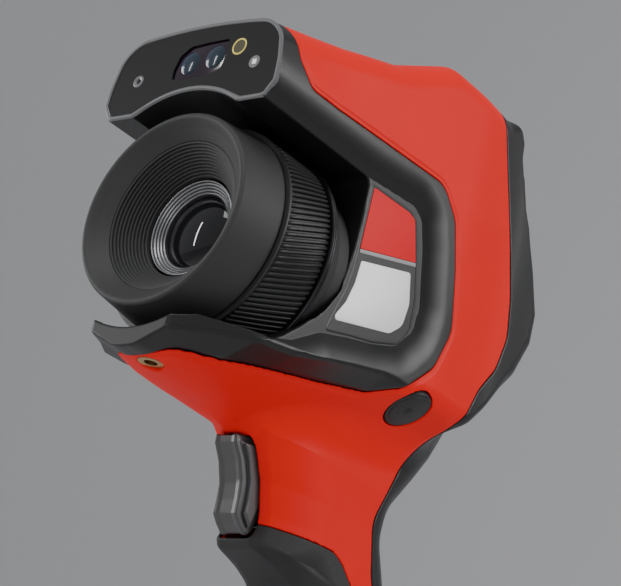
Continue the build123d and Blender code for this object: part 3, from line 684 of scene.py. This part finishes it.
RUBBER = Outline([
    (40, -92.3, 0), (74, -92.3, 3), (106, -91.2, 20), (114, -91.1, 10), (120, -94, 10), (127, -99.6, 12),
    (137, -107, 12), (190, -232, 0), (40, -232, 0)])
SLOT = Outline([
    (50, -63.5, 0), (70, -62, 3), (84, -56, 0), (92, -62, 0), (90, -90, 3), (84, -96, 3),
    (78.5, -98.2, 2), (50, -98.4, 0)])
SLOT_HALF = 7.7
PORT = Outline([(129, 62, 3), (146, 62, 3), (156, 32, 4), (155, 18, 4), (129, 18, 3)])
PORT_X = -36.0
PLUG_HOLE_R, PLUG_DEPTH = 10.0, 4.2
SKIN = 1.3              # how deep the grip rubber is let into the shell
PROUD = 0.35            # how far the grip rubber stands out of it
STEP_DOWN = 0.35        # how far the red shell stands below the black frame's edge


def foot_plane(y, z):
    """Above zero past the end of the grip's shell, where the battery's foot starts."""
    return (y - GRIP_BASE[1]) * GRIP_DOWN[1] + (z - GRIP_BASE[2]) * GRIP_DOWN[2] + FOOT + 0.08


def plug_hole(x, y, z):
    """The round seat for the socket plug, square to the underside."""
    u = np.abs(x) - PLUG_CENTRE[0]
    v, w = y - PLUG_CENTRE[1], z - PLUG_CENTRE[2]
    out = u * PLUG_NORMAL[0] + v * PLUG_NORMAL[1] + w * PLUG_NORMAL[2]
    radius = np.sqrt(np.maximum(u * u + v * v + w * w - out * out, 0))
    return np.maximum(radius - PLUG_HOLE_R, -out - PLUG_DEPTH)


def shell_field(x, y, z):
    """The red front shell."""
    outer = envelope(x, y, z)
    zone = BUMPER(y, z)
    solid = outer + STEP_DOWN * (1 - smooth_step(zone, 1.2, 2.6))
    under = np.maximum(RUBBER(y, z), -(outer + SKIN + SEAM))
    solid = np.maximum(solid, -under)
    solid = cut_round(solid, SEAM - zone, 0.5)
    solid = cut_round(solid, SEAM - PARTING(y, z), 0.6)
    solid = np.maximum(solid, -(outer + WALL + 0.4))
    solid = np.maximum(solid, foot_plane(y, z))
    solid = cut_round(solid, -trigger_slot(x, y, z), 0.8)
    solid = cut_round(solid, -plug_hole(x, y, z), 0.5)
    solid = cut_round(solid, -np.maximum(PORT(y, z), x - PORT_X), 0.5)
    return cut_round(solid, -tripod_hole(x, y, z), 0.6)


def trigger_slot(x, y, z):
    return cut_round(SLOT(y, z), np.abs(x) - SLOT_HALF, 1.5)


def grip_skin_field(x, y, z):
    """The rubber skin, a little proud of the shell round it."""
    outer = envelope(x, y, z)
    solid = cut_round(outer - PROUD, RUBBER(y, z) + SEAM, 0.9)
    solid = cut_round(solid, SEAM - PARTING(y, z), 0.6)
    solid = np.maximum(solid, -(outer + SKIN))
    solid = cut_round(solid, foot_plane(y, z), 0.4)
    return cut_round(solid, -trigger_slot(x, y, z), 0.8)


REAR_TILT = math.radians(24.04)
REAR_POINT = np.array([179.6, 51.5])
KEY_TILT = math.radians(-19.56)
KEY_POINT = np.array([179.4, 3.0])
DISPLAY_UP, KEYS_UP = 20.5, -12.4
KEYS_ACROSS = {"gallery_key": 22, "power_key": 0, "back_key": -22}


def face_axes(y, z, point, tilt):
    """Distances up and out from a tilted face at the rear."""
    out = (y - point[0]) * math.cos(tilt) + (z - point[1]) * math.sin(tilt)
    up = -(y - point[0]) * math.sin(tilt) + (z - point[1]) * math.cos(tilt)
    return up, out


def box_field(u, v, half_u, half_v, r):
    a, b = np.abs(u) - half_u + r, np.abs(v) - half_v + r
    return np.sqrt(np.maximum(a, 0) ** 2 + np.maximum(b, 0) ** 2) + np.minimum(np.maximum(a, b), 0) - r


SCREW_PLACE = np.array([12.0, 145.0, -70.0])


def rear_field(x, y, z):
    """The black rear shell, with its display window, key holes and screw pits."""
    outer = envelope(x, y, z)
    solid = cut_round(outer, PARTING(y, z) + SEAM, 0.6)
    solid = np.maximum(solid, -(outer + WALL))
    solid = np.maximum(solid, foot_plane(y, z))
    up, out = face_axes(y, z, REAR_POINT, REAR_TILT)
    glass = np.maximum(box_field(x, up - DISPLAY_UP, 34.6, 26.1, 5.0), -3.1 - out)
    window = np.maximum(box_field(x, up - DISPLAY_UP, 32.0, 23.5, 3.0), -10.0 - out)
    solid = cut_round(solid, -glass, 0.4)
    solid = np.maximum(solid, -window)
    for across in KEYS_ACROSS.values():
        hole = np.maximum(box_field(x - across, up - KEYS_UP, 6.7, 2.8, 2.7), -8.0 - out)
        solid = cut_round(solid, -hole, 0.4)
    up, out = face_axes(y, z, KEY_POINT, KEY_TILT)
    deck = np.maximum(np.sqrt(x * x + up * up) - 13.2, -8.0 - out)
    solid = cut_round(solid, -deck, 0.6)
    pit = np.sqrt((np.abs(x) - SCREW_PLACE[0]) ** 2 + (z - SCREW_PLACE[2]) ** 2)
    pit = np.minimum(np.maximum(pit - 3.1, SCREW_PLACE[1] - 3.6 - y), np.maximum(pit - 1.3, 120 - y))
    return cut_round(solid, -pit, 0.3)


def make_housing():
    fine = 0.55
    coarse = 0.7
    skins = [
        ("bumper_frame_skin", frame_field, (-46, -5, -60), (46, 128, 80), fine, "black", "black_plastic",
         "bumper_frame"),
        ("front_shell_skin", shell_field, (-46, -2, -182), (46, 172, 115), coarse, "red", "red_plastic",
         "front_shell"),
        ("rear_shell_skin", rear_field, (-46, 128, -182), (46, 190, 115), coarse, "black", "black_plastic",
         "rear_shell"),
        ("grip_skin", grip_skin_field, (-22, 70, -178), (22, 180, -88), coarse, "rubber", "grip_rubber",
         "grip_rubber")]
    for name, field, low, high, voxel, *finish in skins:
        finish_piece(sdf_mesh(name, field, low, high, voxel), *finish)


# --- Turned, pressed and ribbed pieces ---

def sharpen(piece, degrees=32):
    piece.data.set_sharp_from_angle(angle=math.radians(degrees))


def lathe(name, corners, segments=192, arc_steps=4, centre=(0.0, 0.0)):
    """A ring turned about the lens axis, or one parallel to it, from (radius, y, corner radius) points."""
    profile = rounded_outline(corners, arc_steps)
    count = len(profile)
    angles = 2 * math.pi * np.arange(segments) / segments
    radius, depth = profile[:, 0][None, :], profile[:, 1][None, :]
    x = centre[0] + np.cos(angles)[:, None] * radius
    z = centre[1] + np.sin(angles)[:, None] * radius
    points = np.stack(np.broadcast_arrays(x, depth, z), -1).reshape(-1, 3)
    i, j = np.meshgrid(np.arange(segments), np.arange(count), indexing="ij")
    ahead, along = (i + 1) % segments, (j + 1) % count
    faces = np.stack([i * count + j, i * count + along, ahead * count + along, ahead * count + j], -1)
    faces = faces.reshape(-1, 4)
    piece = mesh_object(name, points, faces if signed_area(profile) < 0 else faces[:, ::-1])
    sharpen(piece)
    return piece


def dome(name, radius, y_edge, crown, back, segments=128, rings=24, centre=(0.0, 0.0)):
    """A round glass, crowned towards the front, with a plain edge and a flat back."""
    rows = []
    for k in range(rings + 1):
        r = radius * k / rings
        rows.append((r, y_edge - crown * (math.sqrt(max(0.0, 1 - (r / radius) ** 2 * 0.75)) - 0.5) * 2))
    rows += [(radius, back), (0.0, back)]
    angles = 2 * math.pi * np.arange(segments) / segments
    points = [(centre[0] + r * math.cos(a), y, centre[1] + r * math.sin(a)) for r, y in rows for a in angles]
    piece = mesh_object(name, points, band_faces(len(rows), segments))
    sharpen(piece)
    return piece


def prism(name, corners, place, low, high, bevel, steps=3):
    """A plate from a rounded outline, its edge at high rounded; place maps (u, v, w) to the lens frame."""
    outline = without_repeats(rounded_outline(corners))
    if signed_area(outline) < 0:
        outline = outline[::-1]
    inward = inward_normals(outline)
    rings = [(0.0, low)]
    for k in range(steps + 1):
        angle = math.pi / 2 * k / steps
        rings.append((bevel * (1 - math.cos(angle)), high - bevel * (1 - math.sin(angle))))
    count = len(outline)
    points = []
    for shift, level in rings:
        points += [place(u, v, level) for u, v in outline + inward * shift]
    faces = [tuple(range(count))[::-1]] + band_faces(len(rings), count)
    faces.append(tuple(range((len(rings) - 1) * count, len(rings) * count)))
    return loose_mesh(name, points, faces)


def loose_mesh(name, points, faces):
    """A mesh piece from lens-frame points and faces of any number of corners, turned to face outward."""
    mesh = bpy.data.meshes.new(name)
    points = np.asarray(points, float) * MM + LENS
    mesh.from_pydata(points.tolist(), [], [tuple(int(i) for i in face) for face in faces])
    mesh.validate()
    outward_faces(mesh)
    mesh.polygons.foreach_set("use_smooth", [True] * len(mesh.polygons))
    piece = scene_object(name, mesh)
    sharpen(piece)
    return piece


def outward_faces(mesh):
    shape = bmesh.new()
    shape.from_mesh(mesh)
    bmesh.ops.recalc_face_normals(shape, faces=shape.faces[:])
    shape.to_mesh(mesh)
    shape.free()


def on_side(sign, base):
    """Places an outline of (y, z) points on a side panel; w runs outward."""
    return lambda u, v, w: (sign * (base + w), u, v)


def on_front(y):
    return lambda u, v, w: (u, y - w, v)


def on_face(point, tilt):
    """Places an outline of (across, up) points on a tilted face at the rear; w runs outward."""
    c, s = math.cos(tilt), math.sin(tilt)
    return lambda u, v, w: (u, point[0] + w * c - v * s, point[1] + w * s + v * c)


# Profiles of the turned pieces, as (radius, y, corner radius)
HOOD = [
    (30.1, 9.2, 0), (30.1, 5.15, 0.2), (33.9, 1.9, 14), (38.45, -2.65, 5.0), (41.35, 19.8, 0.5),
    (34.0, 19.8, 0), (34.0, 9.2, 0)]
FLANGE = [
    (38.05, 45.0, 0), (43.8, 45.0, 0.3), (44.5, 45.3, 0.3), (44.5, 45.95, 0.2), (44.05, 46.1, 0.1),
    (44.5, 46.25, 0.2), (44.5, 47.2, 0.3), (38.05, 47.2, 0)]
MOUNT = [
    (38.05, 47.25, 0), (43.2, 47.25, 0.4), (42.3, 48.8, 2), (38.9, 55.5, 5), (38.5, 62.1, 0.2),
    (38.05, 62.1, 0)]


def baffle_profile(steps=11):
    """The funnel inside the hood, down which the steps run, each with a fine raised edge."""
    wide, narrow, front, back = 30.0, 20.3, 5.3, 16.0
    rise, run = (wide - narrow) / steps, (back - front) / steps
    corners = [(wide, front + 0.05, 0.1)]
    for i in range(steps):
        r, y = wide - rise * (i + 1), front + run * i
        corners.append((r, y + 0.05, 0.22))
        corners.append((r - 0.02, y + run - 0.28, 0.05))
        corners.append((r + 0.3, y + run - 0.14, 0.08))
        corners.append((r + 0.3, y + run, 0.05))
    corners += [(narrow, back + 0.1, 0.1), (narrow, 19.6, 0), (33.9, 19.6, 0), (33.9, 9.3, 0), (wide, 9.3, 0)]
    return corners


def retaining_profile():
    """The ring round the front glass, with fine grooves down its inside."""
    corners = [(19.5, 21.0, 0), (19.5, 16.2, 0.3), (18.9, 16.1, 0.2)]
    r, y = 18.7, 16.4
    for groove in range(4):
        corners.append((r, y, 0.08))
        corners.append((r - 0.12, y + 0.75, 0.06))
        corners.append((r - 0.5, y + 0.75, 0.05))
        corners.append((r - 0.6, y + 0.3, 0.08))
        r, y = r - 0.95, y + 0.7
    corners += [(14.9, 19.3, 0.1), (14.9, 21.0, 0)]
    return corners


def make_lens():
    finish_piece(lathe("hood_skin", HOOD, 256, 10), "hood", "hood_plastic", "lens_hood")
    finish_piece(lathe("baffle_skin", baffle_profile(), 224, 3), "hood", "hood_plastic", "hood_baffle")
    finish_piece(lathe("retaining_skin", retaining_profile(), 192, 3), "metal", "lens_metal",
                 "retaining_ring", body="focus_group")
    finish_piece(dome("front_dome", 14.85, 20.9, 4.0, 26.4), "front_glass", "optic_glass",
                 "front_element", body="focus_group")
    finish_piece(lathe("flange_skin", FLANGE, 256, 4), "anodised", "lens_metal", "lens_flange")
    finish_piece(lathe("mount_skin", MOUNT, 256, 6), "hood", "lens_metal", "lens_mount")
    finish_piece(ribbed_ring(), "ring", "ring_rubber", "focus_ring", body="focus_ring")


RIBS = 118
RIB_SLANT = math.radians(0.549)     # round the ring for each millimetre along it
RIB_ROOT, RIB_TOP, RIB_START = 42.0, 43.2, 21.4
# Each row of the ring is (y, radius between the ribs, radius on a rib)
RING_ROWS = [
    (20.15, 38.1, 38.1), (20.15, 42.6, 42.6), (20.35, 43.1, 43.1), (21.2, 43.1, 43.1), (21.35, 42.9, 42.9),
    (RIB_START, RIB_ROOT, RIB_ROOT), (21.9, RIB_ROOT, 42.5), (22.3, RIB_ROOT, 43.0)]
RING_ROWS += [(y, RIB_ROOT, RIB_TOP) for y in (22.9, 27, 31, 35, 39, 43.9)]
RING_ROWS += [(44.4, RIB_ROOT, 42.9), (44.65, RIB_ROOT, RIB_ROOT), (44.65, 38.1, 38.1)]


def ribbed_ring():
    """The focus ring: a plain band, then fine slanting ribs with rounded tops."""
    shares = (0.0, 0.06, 0.13, 0.45, 0.52, 0.58, 0.66, 0.92)
    heights = (0.55, 0.88, 1.0, 1.0, 0.88, 0.55, 0.0, 0.0)
    points = []
    for y, low, high in RING_ROWS:
        for i in range(RIBS):
            for share, height in zip(shares, heights):
                angle = 2 * math.pi * (i + share) / RIBS + RIB_SLANT * (y - RIB_START)
                r = low + (high - low) * height
                points.append((r * math.cos(angle), y, r * math.sin(angle)))
    piece = mesh_object("ribbed_ring", points, band_faces(len(RING_ROWS), RIBS * len(shares), closed=True))
    sharpen(piece, 40)
    return piece


# --- Visor, side panel, trigger, plugs, screws and rear ---

# The optics window in the visor, as (x, z, corner radius); the others are on the side, as (y, z, radius)
OPTICS = [
    (-10.6, 53.2, 0.6), (-5.7, 52.5, 3), (4.4, 52.6, 4), (9.6, 53.3, 3), (13.6, 55.2, 2.5), (14.8, 60, 4),
    (14.4, 66.9, 0.5), (4.9, 66.9, 8), (-4.6, 66.4, 4), (-9.2, 63, 3), (-10.9, 57, 3)]
BADGE = [(65.7, 37.2, 1.0), (88.4, 37.7, 0.8), (92.6, 36.6, 2.5), (98.5, 21.0, 0.4), (65.8, 11.6, 0.4)]
STRIP = [(65.9, 11.45, 0.1), (98.6, 20.85, 0.1), (99.0, 19.4, 0.1), (66.0, 10.0, 0.1)]
LABEL = [
    (68.1, 7.6, 1.0), (96.9, 15.9, 1.2), (100.2, 4.0, 7), (98.9, -5.6, 7), (92.6, -11.3, 4),
    (59.4, -20.0, 1.3), (64.8, -10.8, 8), (67.3, -2.2, 14)]
INSET = [
    (64.1, 37.5, 0.6), (88.9, 38.3, 2), (93.6, 36.2, 3), (97.2, 26.5, 8), (102.9, 8.0, 8), (103.5, -4, 6),
    (99.5, -12.6, 6), (84, -18.3, 12), (71.3, -21.2, 12), (57.6, -24.9, 0.8), (60.6, -15, 6),
    (63.4, -7, 6), (64.7, 1, 6), (65.0, 11, 8), (64.4, 20.6, 8)]
VISOR_MIDDLE = 57.5
LAMP_X, POINTER_X, LAMPS_Z = 29.9, -28.6, 55.0
MARK = (20.4, 62.7)
CUP_R, CUP_BACK = 2.58, -1.4


def visor_outline(inset, rays=300):
    """The visor's front outline, moved in by inset, found along rays from a point inside it."""
    angles = 2 * math.pi * np.arange(rays) / rays
    across, up = np.cos(angles), np.sin(angles)
    reach = np.linspace(4, 60, 225)
    values = np.array([visor_face(across * t, VISOR_MIDDLE + up * t) for t in reach]) + inset
    first = np.argmax(values > 0, axis=0)
    near, far = reach[np.maximum(first - 1, 0)], reach[first]
    for i in range(24):
        middle = (near + far) / 2
        inside = visor_face(across * middle, VISOR_MIDDLE + up * middle) + inset < 0
        near, far = np.where(inside, middle, near), np.where(inside, far, middle)
    return np.stack([across * near, VISOR_MIDDLE + up * near], -1)


def holed_plate(name, outline, holes, place, low, high):
    """A flat plate with holes through it."""
    loops = [np.asarray(outline)] + [rounded_outline(hole) for hole in holes]
    flat = [[Vector((u, v, 0)) for u, v in loop] for loop in loops]
    triangles = tessellate_polygon(flat)
    points = [place(u, v, level) for level in (low, high) for loop in loops for u, v in loop]
    total = sum(len(loop) for loop in loops)
    faces = list(triangles) + [tuple(total + i for i in triangle) for triangle in triangles]
    start = 0
    for loop in loops:
        count = len(loop)
        for i in range(count):
            j = (i + 1) % count
            faces.append((start + i, start + j, total + start + j, total + start + i))
        start += count
    return loose_mesh(name, points, faces)


def banded_rim(name, rows, place):
    """A closed band through outlines that have the same number of points; each row is (outline, level)."""
    points = [place(u, v, level) for outline, level in rows for u, v in outline]
    return loose_mesh(name, points, band_faces(len(rows), len(rows[0][0]), closed=True))


def moved(outline, across, up):
    return [(u + across, v + up, radius) for u, v, radius in outline]


def make_visor():
    front = on_front(0.0)
    section = [(1.75, 1.3), (1.75, 2.75), (1.45, 3.02), (1.0, 3.1), (0.5, 2.95), (0.05, 2.3), (0.4, 1.3)]
    rows = [(visor_outline(inset), level) for inset, level in section]
    # The rim is black plastic in the mid-grey "edge" finish: a painted highlight along its chamfer.
    finish_piece(banded_rim("visor_rim", rows, front), "edge", "black_plastic")
    holes = [OPTICS] + [moved(regular(2.6, 48), x, LAMPS_Z) for x in (LAMP_X, POINTER_X)]
    panel = holed_plate("visor_panel", visor_outline(1.7), holes, front, 1.3, 2.7)
    finish_piece(panel, "gloss", "gloss_black", "visor_window")
    window = prism("optics_pane", OPTICS, front, 1.2, 2.1, 0.3)
    finish_piece(window, "window", "optic_glass", "optics_window")
    optics = (("camera_dome", (-3.6, 59.4), "camera_lens"), ("range_dome", (8.6, 60.4), "range_finder_lens"))
    for name, centre, node in optics:
        glass = dome(name, 4.9, -2.0, 0.95, -1.6, 64, 14, centre)
        finish_piece(glass, "small_glass", "optic_glass", node)
    make_lamps(front)
    make_mark()


def make_lamps(front):
    """The lamp and the laser pointer, each in a cup: one has a square emitter, the other a glass bead."""
    lamp = [(CUP_R, CUP_BACK, 0), (CUP_R, -2.66, 0.1), (2.3, -2.7, 0.1), (0.02, -2.62, 0),
            (0.02, CUP_BACK, 0)]
    pointer = [(CUP_R, CUP_BACK, 0), (CUP_R, -2.75, 0.3), (2.0, -2.95, 0.4), (1.1, -2.6, 0.2),
               (1.0, -1.9, 0.1), (0.02, -1.8, 0), (0.02, CUP_BACK, 0)]
    cups = (("lamp_cup", lamp, LAMP_X, "lamp"), ("pointer_cup", pointer, POINTER_X, "laser_pointer"))
    for name, cup, x, node in cups:
        finish_piece(lathe(name, cup, 64, 3, (x, LAMPS_Z)), "cup", "lamp_white", node)
    square = moved(rectangle(0.95, 1.0, 0.15), LAMP_X, LAMPS_Z)
    finish_piece(prism("lamp_emitter", square, front, 2.5, 2.74, 0.06), "lamp", "lamp_white")
    bead = dome("pointer_bead", 0.95, -1.95, 0.35, -1.7, 32, 8, (POINTER_X, LAMPS_Z))
    finish_piece(bead, "front_glass", "optic_glass")


def make_mark():
    """The plain yellow mark beside the laser pointer."""
    ring = [(2.8, -2.69, 0), (2.8, -2.76, 0.02), (3.45, -2.76, 0.02), (3.45, -2.69, 0)]
    finish_piece(lathe("pointer_ring_mark", ring, 72, 2, MARK), "yellow", "label_silver")
    spot = [(0.02, -2.69, 0), (0.02, -2.72, 0), (2.8, -2.72, 0), (2.8, -2.69, 0)]
    finish_piece(lathe("pointer_spot_mark", spot, 72, 2, MARK), "olive", "label_silver")


def make_panel_details():
    """The side badges with their edge strips, the step round each inset, and the label on the right."""
    for sign, name in ((1, "right"), (-1, "left")):
        badge = prism("badge_plate_" + name, BADGE, on_side(sign, PLATE_X), 0.0, 0.55, 0.12)
        finish_piece(badge, "badge", "red_plastic", "badge_" + name)
        strip = prism("badge_strip_" + name, STRIP, on_side(sign, PLATE_X), 0.0, 0.5, 0.08)
        finish_piece(strip, "strip", "label_silver")
        finish_piece(inset_step("panel_edge_" + name, sign), "black", "black_plastic")
    label = prism("label_skin", LABEL, on_side(1, PLATE_X), 0.0, 0.5, 0.1)
    finish_piece(label, "label", "label_silver", "label_plate")


def inset_step(name, sign):
    """The fine raised edge that outlines the inset panel."""
    path = without_repeats(rounded_outline(INSET, 10))
    outward = inward_normals(path) * (-1 if signed_area(path) > 0 else 1)
    section = [(-0.34, -0.3), (-0.34, 0.0), (-0.18, 0.17), (0.05, 0.2), (0.6, 0.0), (0.6, -0.3)]
    points = [(sign * (PANEL_X + lift), u, v) for shift, lift in section for u, v in path + outward * shift]
    return loose_mesh(name, points, band_faces(len(section), len(path), closed=True))


TRIGGER = Outline([
    (60.4, -63.6, 0.8), (60.9, -66.9, 0.7), (65.4, -72.4, 7), (68.8, -79.5, 7), (69.7, -86, 6),
    (69.9, -91.6, 1.0), (73.0, -94.8, 2), (77.5, -98.0, 2), (80.5, -95, 2), (83.5, -84, 3),
    (84.5, -72, 3), (83.2, -62, 2), (79, -58.6, 3), (73.5, -60.4, 2)])


def trigger_field(x, y, z):
    """A finger pad with raised edges, standing on a wider, set-back flank."""
    side = np.abs(x)
    profile = TRIGGER(y, z)
    dip = 0.55 * (1 - smooth_step(side, 2.6, 4.9))
    pad = cut_round(profile + dip, side - 6.1 + 0.05 * (z + 78), 1.1)
    flank = cut_round(profile + 2.6, side - 7.3, 1.6)
    groove = np.maximum(np.abs(side - 6.3) - 0.4, -(profile + 3.6))
    body = join_round(pad, flank, 0.8)
    return cut_round(body, -groove, 0.5)


def make_trigger():
    voxel = 0.32
    piece = sdf_mesh("trigger_skin", trigger_field, (-8.5, 59, -100), (8.5, 87, -56), voxel)
    # The trigger takes the lighter "pad" grey: a painted highlight on black plastic.
    finish_piece(piece, "pad", "black_plastic", "trigger", body="trigger")


def make_plugs():
    """The round socket plugs in the underside, each with a raised land and a hexagon socket."""
    out = PLUG_NORMAL
    up = np.array([0.0, 0.0, 1.0])
    up -= out * (up @ out)
    up /= np.linalg.norm(up)
    across = np.cross(up, out)
    for sign, name in ((1, "right"), (-1, "left")):

        def place(u, v, w):
            point = PLUG_CENTRE + across * u + up * v + out * w
            return (sign * point[0], point[1], point[2])

        disc = prism("plug_disc_" + name, regular(9.75, 96), place, -4.1, -0.1, 0.7)
        finish_piece(disc, "black", "black_plastic", "socket_plug_" + name)
        land = prism("plug_land_" + name, regular(7.9, 96), place, -0.4, 0.12, 0.25)
        finish_piece(land, "black", "black_plastic")
        # The hexagon socket is a near-black plate standing a little proud of the land: painted shade for the
        # recess.
        socket = prism("plug_socket_" + name, regular(1.95, 6, 0.15), place, -0.3, 0.16, 0.03)
        finish_piece(socket, "pit", "black_plastic")


def make_screws():
    """Two screws with hexagon sockets, their round heads sunk in the back of the neck."""
    x, y, z = SCREW_PLACE
    head = [(0.02, -20.0, 0), (1.2, -20.0, 0.2), (1.2, -3.5, 0.1), (2.8, -3.5, 0.1), (2.8, -1.9, 0.4),
            (0.02, -1.75, 0)]
    profile = [(radius, y + level, bend) for radius, level, bend in head]
    for sign, name in ((1, "right"), (-1, "left")):
        screw = lathe("shell_screw_" + name, profile, 64, 3, (sign * x, z))
        finish_piece(screw, "bright", "steel", "shell_screws")

        def place(u, v, w):
            return (sign * x + u, y + w, z + v)

        # The hexagon socket is a near-black plate on the screw head: painted shade for the recess.
        socket = prism("screw_socket_" + name, regular(1.3, 6, 0.1), place, -2.2, -1.74, 0.02)
        finish_piece(socket, "pit", "steel")


def make_rear():
    """The display's glass, the three keys under it and the round key below them."""
    place = on_face(REAR_POINT, REAR_TILT)
    screen = moved(rectangle(34.3, 25.8, 4.8), 0, DISPLAY_UP)
    glass = prism("display_glass", screen, place, -3.0, -1.65, 0.35)
    finish_piece(glass, "screen", "display", "cover_glass")
    for name, across in KEYS_ACROSS.items():
        cap = prism(name + "_cap", moved(rectangle(6.5, 2.6, 2.5), across, KEYS_UP), place, -3.0, 1.2, 0.7)
        finish_piece(cap, "key", "key_rubber", name, body=name)
    cap = prism("ok_cap", regular(6.0, 72), on_face(KEY_POINT, KEY_TILT), -1.7, 1.3, 0.6)
    finish_piece(cap, "key", "key_rubber", "ok_key", body="ok_key")


# --- Finishes of the carried-over pieces ---

NODE_FINISH = {
    "black": ["battery", "battery_latch_right", "battery_latch_left", "battery_sleeve"],
    "gloss": ["display_panel"],
    "front_glass": ["rear_element"],
    "inner": ["camera_module", "range_finder_module", "trigger_bracket", "trigger_switch", "speaker",
              "port_block", "contact_block", "detector"],
    "anodised": ["focus_cell", "lens_barrel"],
    "ring": ["mount_seal", "port_cover"],
    "bright": ["trigger_pin", "trigger_spring", "shutter_blade", "shutter_motor"],
    "brass": ["tripod_insert"],
    "key": ["nav_key", "key_mat"],
    "board": ["image_board", "power_board", "lamp_board", "antenna"],
    "alloy": ["chassis", "heat_spreader"],
}


def finish_nodes():
    for material, names in NODE_FINISH.items():
        for name in names:
            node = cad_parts[name]
            node.data.materials.clear()
            node.data.materials.append(MATERIALS[material])


make_camera()
make_stage()
make_lights()
make_housing()
make_lens()
make_visor()
make_panel_details()
make_trigger()
make_plugs()
make_screws()
make_rear()
finish_nodes()
